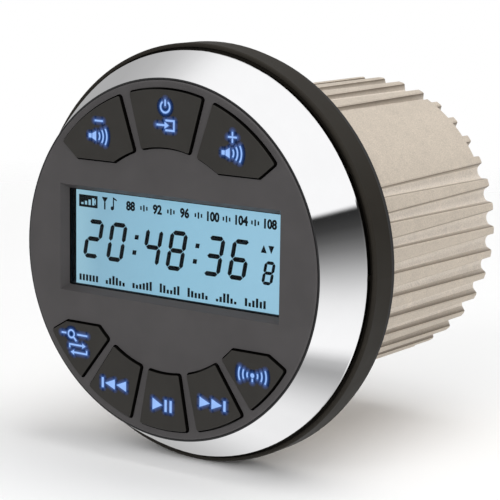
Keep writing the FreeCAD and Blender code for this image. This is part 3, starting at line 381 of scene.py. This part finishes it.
def cast_material():
    """Cast alloy under thin lacquer: tan fin tips, greyer valleys, and painted shade on the flanks, darkest
    towards the tips' edges.
    """
    made = material("cast_body_look", (0.575, 0.503, 0.42), 0.55, metallic=0.25, grain=0.45, bump=0.035,
                    tint=0.075, patch=6.0, speckle=0.14, mottle=5.0)
    tree = made.node_tree
    shader = tree.nodes["Principled BSDF"]
    tone = shader.inputs["Base Color"].links[0].from_socket
    coords = tree.nodes.new("ShaderNodeTexCoord")
    reach, unit = radial_parts(tree, coords)
    height = spread(tree, reach, 0.0, 1.0, VALLEY_R * MM, TIP_R * MM)
    level = ramp(tree, height, [(0.0, VALLEY_LIGHT), (1.0, 1.0)])
    around = vector_math(tree, "CROSS_PRODUCT", unit)
    around.inputs[1].default_value = (0.0, 1.0, 0.0)
    sideways = vector_math(tree, "DOT_PRODUCT", around.outputs[0], coords.outputs["Normal"])
    # Painted shade: flanks that face round the body darken, most near the tips
    flank = spread(tree, absolute(tree, sideways.outputs["Value"]), 0.0, 1.0, FLANK_START, FLANK_END)
    edge = ramp(tree, spread(tree, reach, 0.0, 1.0, FLANK_FOOT_R * MM, TIP_R * MM),
                [(0.0, FOOT_SHADE), (1.0, EDGE_SHADE)])
    shadow = blended(tree, (1.0, 1.0, 1.0, 1.0), edge, flank)
    for factor in (level, shadow):
        tone = blended(tree, tone, factor, way="MULTIPLY")
    link(tree, tone, shader.inputs["Base Color"])
    return made


def lcd_material():
    """Lit display: pale blue, brighter towards the lamps on its left."""
    made = material("lcd_look", (0.05, 0.08, 0.10), 0.5, grain=0.12, bump=0.002)
    tree = made.node_tree
    shader = tree.nodes["Principled BSDF"]
    coords = tree.nodes.new("ShaderNodeTexCoord")
    sideways = split(tree, coords.outputs["Object"])["X"]
    across = spread(tree, sideways, 0.0, 1.0, -LCD_REACH * MM, LCD_REACH * MM)
    glow = ramp(tree, across, [(0.0, (0.33, 0.55, 0.66)), (0.12, (0.25, 0.45, 0.58)),
                               (0.5, (0.28, 0.52, 0.67)), (1.0, (0.32, 0.56, 0.72))])
    link(tree, glow, shader.inputs["Emission Color"])
    shader.inputs["Emission Strength"].default_value = 0.92
    return made


LOOKS = {
    # Face and keys: their side walls get painted shade, darker and duller than their fronts
    "face_plastic": painted_wall_shade(material("face_plastic_look", (0.058, 0.054, 0.055), 0.48, grain=0.22,
                                        bump=0.010), start=0.15, end=0.35, depth=0.12),
    "key_plastic": painted_wall_shade(material("key_plastic_look", (0.026, 0.024, 0.021), 0.42, grain=0.25,
                                       bump=0.006, specular=0.35), start=0.4, end=0.75, depth=0.15),
    "chrome_trim": turned(material("chrome_trim_look", (0.94, 0.94, 0.95), 0.035, metallic=1.0, grain=5.0,
                                   bump=0.002, tint=0.01, rough_spread=0.02)),
    "rim_plastic": material("rim_plastic_look", (0.022, 0.019, 0.015), 0.50, grain=0.3, bump=0.010,
                            specular=0.12),
    "seal_rubber": material("seal_rubber_look", (0.020, 0.020, 0.021), 0.75, grain=0.4, bump=0.02),
    "clear_acrylic": lens_material(),
    "lcd_glass": lcd_material(),
    "light_guide": material("light_guide_look", (0.75, 0.86, 0.90), 0.25, grain=0.6, bump=0.01),
    "led": material("led_look", (0.85, 0.86, 0.80), 0.4, grain=0.3, bump=0.01),
    "white_plastic": material("white_plastic_look", (0.80, 0.80, 0.77), 0.45, grain=0.3, bump=0.006,
                              tint=0.03),
    "red_plastic": material("red_plastic_look", (0.55, 0.025, 0.02), 0.42, grain=0.3, bump=0.006),
    "strip_rubber": material("strip_rubber_look", (0.45, 0.45, 0.47), 0.7, grain=0.4, bump=0.02),
    "mat_rubber": material("mat_rubber_look", (0.56, 0.58, 0.60), 0.6, grain=0.5, bump=0.02),
    "board": material("board_look", (0.02, 0.14, 0.06), 0.38, grain=0.5, bump=0.01, tint=0.15, patch=4.0),
    "steel_screw": material("steel_screw_look", (0.58, 0.57, 0.55), 0.30, metallic=1.0, grain=0.25,
                            bump=0.01),
    "black_plastic": material("black_plastic_look", (0.020, 0.020, 0.022), 0.42, grain=0.3, bump=0.012),
    "ribbon": material("ribbon_look", (0.45, 0.45, 0.46), 0.5, grain=1.0, bump=0.03,
                       stretch=(1.3, 0.05, 0.05)),
    "cast_body": cast_material(),
    "thermal_pad": material("thermal_pad_look", (0.50, 0.58, 0.66), 0.8, grain=0.5, bump=0.02),
    "chip": material("chip_look", (0.025, 0.025, 0.026), 0.55, grain=0.3, bump=0.012),
    "tinned_lead": material("tinned_lead_look", (0.72, 0.71, 0.69), 0.30, metallic=1.0, grain=0.3,
                            bump=0.01),
    "steel_bar": material("steel_bar_look", (0.56, 0.55, 0.54), 0.35, metallic=1.0, grain=0.5, bump=0.01,
                          stretch=(0.05, 1.0, 1.0)),
    "capacitor_can": material("capacitor_can_look", (0.05, 0.06, 0.09), 0.4, grain=0.6, bump=0.01),
    "ferrite": material("ferrite_look", (0.06, 0.06, 0.06), 0.7, grain=0.4, bump=0.03),
    "copper_wire": material("copper_wire_look", (0.62, 0.26, 0.09), 0.28, metallic=1.0, grain=0.5,
                            bump=0.01),
    "steel_can": material("steel_can_look", (0.62, 0.61, 0.60), 0.32, metallic=1.0, grain=0.6, bump=0.008),
    "gilt_pin": material("gilt_pin_look", (0.83, 0.60, 0.24), 0.22, metallic=1.0, grain=0.3, bump=0.006),
    "gilt_sleeve": material("gilt_sleeve_look", (0.85, 0.63, 0.27), 0.20, metallic=1.0, grain=0.4,
                            bump=0.006),
}
CORE_LOOK = lit("legend_core_look", (0.30, 0.52, 1.0), 1.0)
HAZE_COLOURS = ((0.035, 0.095, 0.30), (0.012, 0.045, 0.165), (0.004, 0.020, 0.085), (0.001, 0.009, 0.040))
HAZE_LOOKS = [lit("legend_haze_look_%d" % (k + 1), HAZE_COLOURS[k], 1.0) for k in range(len(HAZE_COLOURS))]
INK_LOOK = material("display_ink_look", (0.002, 0.006, 0.010), 0.6, grain=0.1, bump=0.001, specular=0.03)
PRINT_LOOK = material("print_look", (0.70, 0.70, 0.68), 0.5, grain=0.2, bump=0.004, tint=0.03)

for part in frame["record"]["subparts"]:
    for slot in frame["nodes"][part["node"]].material_slots:
        slot.material = LOOKS[part["material_slot"]]


# Flat marks: outlines of (x, z) points on a plane that faces -Y

def added(name, data):
    obj = bpy.data.objects.new(name, data)
    bpy.context.scene.collection.objects.link(obj)
    return obj


def place(obj, look, body):
    obj.data.materials.clear()
    obj.data.materials.append(look)
    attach(obj, body)
    return obj


def plates(name, faces, front, back, look, body, bevel=0.0):
    """Thin plates over quads and polygons, front and back along Y."""
    mesh = bpy.data.meshes.new(name)
    made = bmesh.new()
    for points in faces:
        ring = [made.verts.new((x * MM, front * MM, z * MM)) for x, z in points]
        made.faces.new(ring)
    bmesh.ops.remove_doubles(made, verts=made.verts, dist=1e-7)
    bmesh.ops.recalc_face_normals(made, faces=made.faces)
    grown = bmesh.ops.extrude_face_region(made, geom=list(made.faces), use_keep_orig=True)
    moved = [item for item in grown["geom"] if isinstance(item, bmesh.types.BMVert)]
    bmesh.ops.translate(made, verts=moved, vec=(0, (back - front) * MM, 0))
    bmesh.ops.recalc_face_normals(made, faces=made.faces)
    made.to_mesh(mesh)
    made.free()
    obj = added(name, mesh)
    if bevel:
        soft = obj.modifiers.new("soft_edges", "BEVEL")
        soft.width = bevel * MM
        soft.segments = 2
        soft.limit_method = "ANGLE"
    return place(obj, look, body)


def arc_points(x, z, radius, start, end, count):
    step = (end - start) / (count - 1)
    angles = [math.radians(start + k * step) for k in range(count)]
    return [(x + radius * math.cos(a), z + radius * math.sin(a)) for a in angles]


def stroke(points, width, closed=False):
    """Quads along a line of points, mitred at its corners."""
    def offset(k, side):
        here = Vector(points[k])
        before = Vector(points[k - 1]) if closed or k > 0 else None
        after = Vector(points[(k + 1) % len(points)]) if closed or k < len(points) - 1 else None
        ways = [way.normalized() for way in (before and here - before, after and after - here) if way]
        normals = [Vector((-way.y, way.x)) for way in ways]
        middle = sum(normals, Vector((0, 0))).normalized()
        reach = side * width / 2 / max(0.35, middle.dot(normals[0]))
        return tuple(here + middle * reach)

    count = len(points) if closed else len(points) - 1
    quads = []
    for k in range(count):
        after = (k + 1) % len(points)
        quads.append([offset(k, 1), offset(k, -1), offset(after, -1), offset(after, 1)])
    return quads


def swollen(points, reach, closed):
    """Blunt quads along a line of points and a disc on each point, reach wide to either side."""
    pairs = list(zip(points, points[1:] + points[:1])) if closed else list(zip(points, points[1:]))
    found = []
    for start, end in pairs:
        found += stroke([start, end], 2 * reach)
    return found + [arc_points(x, z, reach, 0, 360 - 360 / DISC_SIDES, DISC_SIDES) for x, z in points]


class Icon:
    """Lines and filled outlines about a centre, drawn as a lit core over wider and wider, dimmer haze."""

    def __init__(self, x, z):
        self.x = x
        self.z = z
        self.lines = []
        self.shapes = []

    def line(self, points, width, closed=False):
        self.lines.append(([(self.x + a, self.z + b) for a, b in points], width, closed))
        return self

    def shape(self, points):
        self.shapes.append([(self.x + a, self.z + b) for a, b in points])
        return self

    def faces(self, grow):
        found = list(self.shapes)
        for points, width, closed in self.lines:
            found += swollen(points, width / 2 + grow, closed) if grow else stroke(points, width, closed)
        for points in self.shapes:
            found += swollen(points, grow, True) if grow else []
        return found


def legend(icons, key):
    """Lit legend on a key: the core, and one wider plate for each stage of haze."""
    core = [face for icon in icons for face in icon.faces(0.0)]
    stem = key.replace("_key", "")
    plates(stem + "_legend", core, KEY_Y - CORE_LIFT, KEY_Y + SINK, CORE_LOOK, key, CORE_EDGE)
    for k, (grow, lift) in enumerate(HAZE_STEPS):
        haze = [face for icon in icons for face in icon.faces(grow)]
        plates("%s_legend_haze_%d" % (stem, k + 1), haze, KEY_Y - lift, KEY_Y + SINK, HAZE_LOOKS[k], key)


def block_face(x0, x1, z0, z1):
    return [(x0, z0), (x1, z0), (x1, z1), (x0, z1)]


def triangle(x, z, length, half_height, way):
    tail = x - way * length / 2
    return [(tail, z - half_height), (tail, z + half_height), (x + way * length / 2, z)]


def speaker(x, z):
    """Cone of a loudspeaker with three waves."""
    icon = Icon(x, z)
    icon.shape(block_face(-2.9, -2.0, -0.5, 0.5))
    icon.shape([(-1.8, -0.55), (-0.6, -1.2), (-0.6, 1.2), (-1.8, 0.55)])
    for radius, reach in ((1.6, 34.0), (2.7, 34.0), (3.8, 30.0)):
        icon.line(arc_points(-1.1, 0.0, radius, -reach, reach, 9), LINE_W)
    return icon


minus = Icon(-19.8, 31.9).line([(-SIGN_REACH, 0), (SIGN_REACH, 0)], LINE_W)
legend([minus, speaker(-20.0, 28.2)], "vol_down_key")

# The upright of the plus is in two parts, which stop short of its bar
plus = Icon(19.6, 31.2).line([(-SIGN_REACH, 0), (SIGN_REACH, 0)], LINE_W)
plus.line([(0, SIGN_GAP), (0, SIGN_REACH)], LINE_W).line([(0, -SIGN_REACH), (0, -SIGN_GAP)], LINE_W)
legend([plus, speaker(19.5, 27.5)], "vol_up_key")

standby = Icon(0.2, 36.7).line(arc_points(0, 0, 1.35, 125, 415, 21), BOLD_W)
standby.line([(0, 0.2), (0, 1.7)], BOLD_W)
source = Icon(0.4, 32.4).line([(-0.1, 1.15), (2.4, 1.15), (2.4, -1.15), (-0.1, -1.15)], BOLD_W)
source.line([(-2.7, 0.0), (-0.3, 0.0)], BOLD_W).shape([(-0.35, -0.85), (0.95, 0.0), (-0.35, 0.85)])
legend([standby, source], "power_key")

finder = Icon(-27.6, -21.4).line(arc_points(-0.9, 0.15, 0.95, 0, 345, 17), LINE_W, True)
finder.line([(-0.15, -0.6), (0.75, -1.5)], HANDLE_W)
finder.line([(-4.0, 0.2), (-2.5, 0.2)], LINE_W).line([(1.0, 0.2), (4.2, 0.2)], LINE_W)
loop = Icon(-26.3, -24.8)
for way in (1, -1):
    loop.line([(-2.7 * way, 0.1 * way), (-2.7 * way, 0.95 * way), (1.4 * way, 0.95 * way)], LINE_W)
    loop.shape([(1.3 * way, 0.3 * way), (2.4 * way, 0.95 * way), (1.3 * way, 1.6 * way)])
legend([finder, loop], "scan_key")

back_skip = Icon(-14.8, -31.9).shape(block_face(-4.0, -3.35, -SKIP_HALF, SKIP_HALF))
back_skip.shape(triangle(-1.4, 0, 3.0, SKIP_HALF, -1)).shape(triangle(2.1, 0, 3.0, SKIP_HALF, -1))
legend([back_skip], "previous_key")

play = Icon(0.0, -34.7).shape(triangle(-1.6, 0, 2.9, PLAY_HALF, 1))
play.shape(block_face(0.6, 1.25, -PLAY_HALF, PLAY_HALF)).shape(block_face(2.1, 2.75, -PLAY_HALF, PLAY_HALF))
legend([play], "play_key")

skip = Icon(14.6, -32.0).shape(block_face(3.35, 4.0, -SKIP_HALF, SKIP_HALF))
skip.shape(triangle(-2.1, 0, 3.0, SKIP_HALF, 1)).shape(triangle(1.4, 0, 3.0, SKIP_HALF, 1))
legend([skip], "next_key")

band = Icon(26.1, -23.5).shape(arc_points(0, 0.1, 0.55, 0, 330, 12)).line([(0, -0.6), (0, -1.4)], LINE_W)
for radius in (1.5, 2.7, 3.9):
    for middle in (0, 180):
        band.line(arc_points(0, 0.1, radius, middle - 24, middle + 24, 7), LINE_W)
legend([band], "band_key")


# Display content

def mark(name, faces):
    """Dark marks on the display's glass."""
    plates(name, faces, MARK_FRONT, MARK_BACK, INK_LOOK, "chassis")


def slanted(points, foot):
    return [(x + (z - foot) * SLANT, z) for x, z in points]


SEGMENTS = {"0": "abcdef", "1": "bc", "2": "abged", "3": "abgcd", "4": "fgbc", "5": "afgcd", "6": "afgedc",
            "7": "abc", "8": "abcdefg", "9": "abcdfg"}


def seven_segments(digit, x, z, width, height, thick, gap):
    """Outlines of the lit bars of one digit whose lower left corner is at (x, z)."""
    half = thick / 2
    left, right = half, width - half
    low, mid, high = half, height / 2, height - half
    ends = {"a": ((left, high), (right, high)), "b": ((right, mid), (right, high)),
            "c": ((right, low), (right, mid)), "d": ((left, low), (right, low)),
            "e": ((left, low), (left, mid)), "f": ((left, mid), (left, high)),
            "g": ((left, mid), (right, mid))}
    bars = []
    for name in SEGMENTS[digit]:
        (x0, z0), (x1, z1) = ends[name]
        if x0 == x1:
            low_end, high_end = z0 + gap, z1 - gap
            bar = [(x0, low_end), (x0 + half, low_end + half), (x0 + half, high_end - half),
                   (x0, high_end), (x0 - half, high_end - half), (x0 - half, low_end + half)]
        else:
            left_end, right_end = x0 + gap, x1 - gap
            bar = [(left_end, z0), (left_end + half, z0 - half), (right_end - half, z0 - half),
                   (right_end, z0), (right_end - half, z0 + half), (left_end + half, z0 + half)]
        bars.append(slanted([(x + a, z + b) for a, b in bar], z))
    return bars


bars = []
cursor = CLOCK_X
for sign in CLOCK:
    if sign == ":":
        left = cursor + DOT_START
        for rise in DOT_RISES:
            low = CLOCK_Z + rise
            bars.append(slanted(block_face(left, left + CLOCK_THICK, low, low + CLOCK_THICK), CLOCK_Z))
        cursor += CLOCK_PITCH / 2
    else:
        bars += seven_segments(sign, cursor, CLOCK_Z, CLOCK_W, CLOCK_H, CLOCK_THICK, CLOCK_GAP)
        cursor += CLOCK_PITCH
mark("clock_digits", bars)
mark("channel_digit", seven_segments("8", SMALL_X, SMALL_Z, SMALL_W, SMALL_H, SMALL_THICK, SMALL_GAP))
mark("channel_arrows", [[(24.8, 4.6), (26.4, 4.6), (25.6, 6.4)], [(26.9, 6.4), (28.5, 6.4), (27.7, 4.6)]])

charts = []
for k, tone in enumerate(TONES):
    for m, level in enumerate(tone):
        left = CHART_X + k * CHART_PITCH + m * BAR_PITCH
        charts.append(block_face(left, left + BAR_W, CHART_Z, CHART_Z + BAR_STEP * level))
mark("tone_charts", charts)

# Source box with its lit signs, and beside it an aerial and a note
mark("source_box", [block_face(-29.7, -23.9, 9.8, 12.8)])
signs = [block_face(-29.0 + k * 1.15, -28.3 + k * 1.15, 10.4, 10.9 + 0.42 * k) for k in range(4)]
signs.append([(-24.4, 10.5), (-24.4, 12.1), (-24.9, 11.3)])
plates("source_bars", signs, MARK_FRONT - SIGN_LIFT, MARK_FRONT, LOOKS["lcd_glass"], "chassis")
aerial = Icon(-21.6, TOP_ROW_Z).line([(0, -1.5), (0, 0.2)], MAST_W)
aerial.shape([(-0.9, 1.5), (0, 0.1), (0.9, 1.5)])
note = Icon(-18.8, TOP_ROW_Z).shape(arc_points(-0.45, -1.0, 0.5, 0, 330, 10))
note.line([(-0.1, -1.0), (-0.1, 1.5), (0.9, 1.0)], NOTE_W)
mark("row_icons", aerial.faces(0.0) + note.faces(0.0))


def numerals(name, text, x, z, size, front, back, look, body, squeeze=1.0, way=-1, bold=0.0):
    """Row of numerals centred on (x, z), facing -Y (way -1) or +Y (way 1)."""
    curve = bpy.data.curves.new(name, "FONT")
    curve.body = text
    curve.size = size * MM / NUMERAL_SHARE
    curve.align_x = "CENTER"
    curve.align_y = "CENTER"
    curve.extrude = abs(back - front) / 2 * MM
    curve.offset = bold * MM
    curve.resolution_u = NUMERAL_CUTS
    letters = added(name + "_curve", curve)
    bpy.context.view_layer.update()
    evaluated = letters.evaluated_get(bpy.context.evaluated_depsgraph_get())
    mesh = bpy.data.meshes.new_from_object(evaluated)
    bpy.data.objects.remove(letters)
    mesh.transform(Matrix.Diagonal((squeeze, 1.0, 1.0, 1.0)))
    mesh.transform(Matrix.Rotation(math.radians(90.0), 4, "X"))
    if way > 0:
        mesh.transform(Matrix.Rotation(math.radians(180.0), 4, "Z"))
    mesh.transform(Matrix.Translation((x * MM, (front + back) / 2 * MM, z * MM)))
    return place(added(name, mesh), look, body)


for k, text in enumerate(DIAL):
    numerals("dial_" + text, text, DIAL_X + k * DIAL_PITCH, TOP_ROW_Z, DIAL_SIZE, MARK_FRONT, MARK_BACK,
             INK_LOOK, "chassis", DIAL_SQUEEZE, bold=DIAL_BOLD)
ticks = []
for k in range(len(DIAL) - 1):
    for m in (-1, 0, 1):
        x = DIAL_X + (k + 0.5) * DIAL_PITCH + m * TICK_PITCH
        half = (SHORT_TICK_H if m else TICK_H) / 2
        ticks.append(block_face(x - TICK_HALF_W, x + TICK_HALF_W, TOP_ROW_Z - half, TOP_ROW_Z + half))
mark("dial_ticks", ticks)


# Black edge of the lens, just inside its polished sides

def frame_face(half_w, half_h, wall, z):
    """Four quads round a rectangle of those half sizes, wall wide inwards."""
    outer = block_face(-half_w, half_w, z - half_h, z + half_h)
    inner = block_face(-half_w + wall, half_w - wall, z - half_h + wall, z + half_h - wall)
    return [[outer[k], outer[(k + 1) % 4], inner[(k + 1) % 4], inner[k]] for k in range(4)]


mask_inset = LENS_GAP + MASK_GAP
plates("lens_edge_mask", frame_face(WINDOW_W / 2 - mask_inset, WINDOW_H / 2 - mask_inset, MASK_T, WINDOW_Z),
       MASK_FRONT, MASK_BACK, INK_LOOK, "chassis")

# Black strip at the left edge of the display, beside the window's dark left wall
half = WINDOW_H / 2 + BORDER_SPARE
plates("display_border", [block_face(-BORDER_REACH, BORDER_LEFT, WINDOW_Z - half, WINDOW_Z + half)],
       BORDER_FRONT, BORDER_BACK, INK_LOOK, "chassis")


# Black ring between the face and the bright ring: painted shade standing in for the shadowed gap there

def revolved(name, profile, look, body, segments=192):
    """Closed profile of (radius, y) points turned about the Y axis."""
    mesh = bpy.data.meshes.new(name)
    made = bmesh.new()
    rings = []
    for k in range(segments):
        angle = 2 * math.pi * k / segments
        rings.append([made.verts.new((r * math.cos(angle) * MM, y * MM, r * math.sin(angle) * MM))
                      for r, y in profile])
    for k in range(segments):
        here, after = rings[k], rings[(k + 1) % segments]
        for m in range(len(profile)):
            n = (m + 1) % len(profile)
            made.faces.new((here[m], here[n], after[n], after[m]))
    bmesh.ops.recalc_face_normals(made, faces=made.faces)
    for face in made.faces:
        face.smooth = True
    made.to_mesh(mesh)
    made.free()
    return place(added(name, mesh), look, body)


shade_ring = [(SHADE_RING_R + SHADE_RING_W / 2 * x, SHADE_RING_Y + SHADE_RING_T / 2 * z) for x, z in arc_points(0, 0, 1, 0, 315, 8)]
revolved("face_gap_shade", shade_ring, LOOKS["seal_rubber"], "chassis")

# Numbers beside the phono sockets on the back
for k, (x, z) in enumerate(PHONO_PLACES):
    side = 1 if x > PHONO_MIDDLE_X else -1
    numerals("phono_number_%d" % (k + 1), str(k + 1), x + side * PHONO_SHIFT, z, PHONO_SIZE,
             COVER_Y - PRINT_SINK, COVER_Y + PRINT_T, PRINT_LOOK, "chassis", way=1,
             bold=PHONO_BOLD)


# Camera

def camera():
    """Camera at the photograph's angle, turned, tilted and rolled as that picture is."""
    azimuth = math.radians(CAMERA_AZIMUTH)
    elevation = math.radians(CAMERA_ELEVATION)
    back = Vector((math.sin(azimuth) * math.cos(elevation), -math.cos(azimuth) * math.cos(elevation),
                   math.sin(elevation)))
    right = Vector((math.cos(azimuth), math.sin(azimuth), 0.0))
    up = back.cross(right)
    ahead = (-back + math.tan(math.radians(CAMERA_TURN)) * right
             + math.tan(math.radians(CAMERA_TILT)) * up).normalized()
    side = ahead.cross(Vector((0, 0, 1))).normalized()
    head = side.cross(ahead)
    roll = math.radians(CAMERA_ROLL)
    side, head = (side * math.cos(roll) + head * math.sin(roll),
                  -side * math.sin(roll) + head * math.cos(roll))
    data = bpy.data.cameras.new("camera")
    data.lens = CAMERA_LENS
    data.sensor_width = CAMERA_SENSOR
    data.clip_start = CAMERA_NEAR * MM
    made = added("camera", data)
    spot = Vector((0, FACE_Y * MM, 0)) + back * CAMERA_DISTANCE * MM
    turn = Matrix((side, head, -ahead)).transposed()
    made.matrix_world = Matrix.Translation(spot) @ turn.to_4x4()
    bpy.context.scene.camera = made


# Surroundings: what shiny surfaces see depends on the direction alone.
# Brightness against (z + 1) / 2 of the direction, to the right and to the left of the stereo.
# The one passes into the other where the direction's x is between SIDE_START and SIDE_END.
SIDE_START = -0.15
SIDE_END = 0.45
RIGHT_STUDIO = ((0.019, 0.85), (0.024, 0.79), (0.032, 0.72), (0.043, 0.64), (0.058, 0.55), (0.076, 0.45),
                (0.087, 0.40), (0.097, 0.39), (0.121, 0.51), (0.148, 0.86), (0.165, 0.98), (0.178, 0.99),
                (0.246, 0.96), (0.283, 0.92), (0.322, 0.855), (0.362, 0.745), (0.404, 0.61), (0.446, 0.465),
                (0.490, 0.315), (0.533, 0.19), (0.576, 0.105), (0.619, 0.05), (0.660, 0.03), (0.675, 0.025),
                (0.682, 0.22), (0.689, 0.66), (0.697, 1.0))
LEFT_STUDIO = ((0.031, 0.90), (0.042, 0.86), (0.054, 0.83), (0.069, 0.79), (0.085, 0.73), (0.104, 0.67),
               (0.124, 0.63), (0.145, 0.59), (0.168, 0.55), (0.215, 0.51), (0.262, 0.48), (0.309, 0.47),
               (0.515, 0.42), (0.668, 0.43), (0.726, 0.46), (0.783, 0.50), (0.838, 0.59), (0.888, 0.73),
               (0.910, 0.82), (0.930, 0.89), (0.949, 0.95), (0.964, 0.98), (0.987, 1.0))


def surroundings(tree, direction):
    """Studio as mirrors see it: a black flag with a soft foot to the right, grey behind on the left."""
    way = split(tree, direction)
    rise = spread(tree, way["Z"], 0.0, 1.0, -1.0, 1.0)
    right = ramp(tree, rise, RIGHT_STUDIO)
    left = ramp(tree, rise, LEFT_STUDIO)
    return blended(tree, left, right, spread(tree, way["X"], 0.0, 1.0, SIDE_START, SIDE_END))


def either(tree, factor, first, second):
    """The first shader where the factor is 0, the second where it is 1."""
    made = tree.nodes.new("ShaderNodeMixShader")
    link(tree, factor, made.inputs[0])
    link(tree, first.outputs[0], made.inputs[1])
    link(tree, second.outputs[0], made.inputs[2])
    return made


def world():
    """White to the camera, a soft even light on the object, and the studio to whatever mirrors it."""
    made = bpy.data.worlds.new("studio")
    made.use_nodes = True
    tree = made.node_tree
    tree.nodes.clear()
    output = tree.nodes.new("ShaderNodeOutputWorld")
    path = tree.nodes.new("ShaderNodeLightPath")
    coords = tree.nodes.new("ShaderNodeTexCoord")
    white = node(tree, "ShaderNodeBackground", Color=(1, 1, 1, 1), Strength=1.0)
    soft = node(tree, "ShaderNodeBackground", Color=(1, 1, 1, 1), Strength=SKY_STRENGTH)
    mirror = node(tree, "ShaderNodeBackground", Strength=1.0)
    link(tree, surroundings(tree, coords.outputs["Generated"]), mirror.inputs["Color"])
    unseen = either(tree, path.outputs["Is Glossy Ray"], soft, mirror)
    link(tree, either(tree, path.outputs["Is Camera Ray"], unseen, white).outputs[0], output.inputs[0])
    bpy.context.scene.world = made


def floor():
    """Pale disc that fades out at its edge; shiny surfaces look through it at the studio."""
    made = bpy.data.materials.new("floor_look")
    made.use_nodes = True
    tree = made.node_tree
    tree.nodes.clear()
    output = tree.nodes.new("ShaderNodeOutputMaterial")
    path = tree.nodes.new("ShaderNodeLightPath")
    coords = tree.nodes.new("ShaderNodeTexCoord")
    length = vector_math(tree, "LENGTH", coords.outputs["Object"])
    fade = spread(tree, length.outputs["Value"], 0.0, 1.0, FADE_START * MM, FADE_END * MM)
    matt = node(tree, "ShaderNodeBsdfDiffuse", Color=(FLOOR_GREY, FLOOR_GREY, FLOOR_GREY, 1.0))
    clear = node(tree, "ShaderNodeBsdfTransparent")
    seen = either(tree, path.outputs["Is Glossy Ray"], matt, clear)
    link(tree, either(tree, fade, seen, clear).outputs[0], output.inputs[0])
    mesh = bpy.data.meshes.new("floor")
    disc = bmesh.new()
    bmesh.ops.create_circle(disc, cap_ends=True, segments=96, radius=FLOOR_R * MM)
    disc.to_mesh(mesh)
    disc.free()
    mesh.materials.append(made)
    obj = added("floor", mesh)
    obj.location = (0, 0, FLOOR_Z * MM)


def lamp(name, spot, size, power):
    """Round soft lamp aimed at the stereo; place and size in metres, power in watts."""
    data = bpy.data.lights.new(name, "AREA")
    data.shape = "DISK"
    data.size = size
    data.energy = power
    made = added(name, data)
    made.location = spot
    made.rotation_euler = (Vector(LAMP_TARGET) - Vector(spot)).to_track_quat("-Z", "Y").to_euler()
    made.visible_glossy = False
    made.visible_camera = False


camera()
world()
floor()
lamp("top_lamp", (0.25, 0.15, 0.9), 0.9, 4.5)
lamp("front_lamp", (0.1, -0.9, 0.45), 0.8, 3.5)
lamp("side_lamp", (1.0, -0.3, 0.3), 0.7, 2.0)
bpy.context.scene.view_settings.view_transform = "Standard"
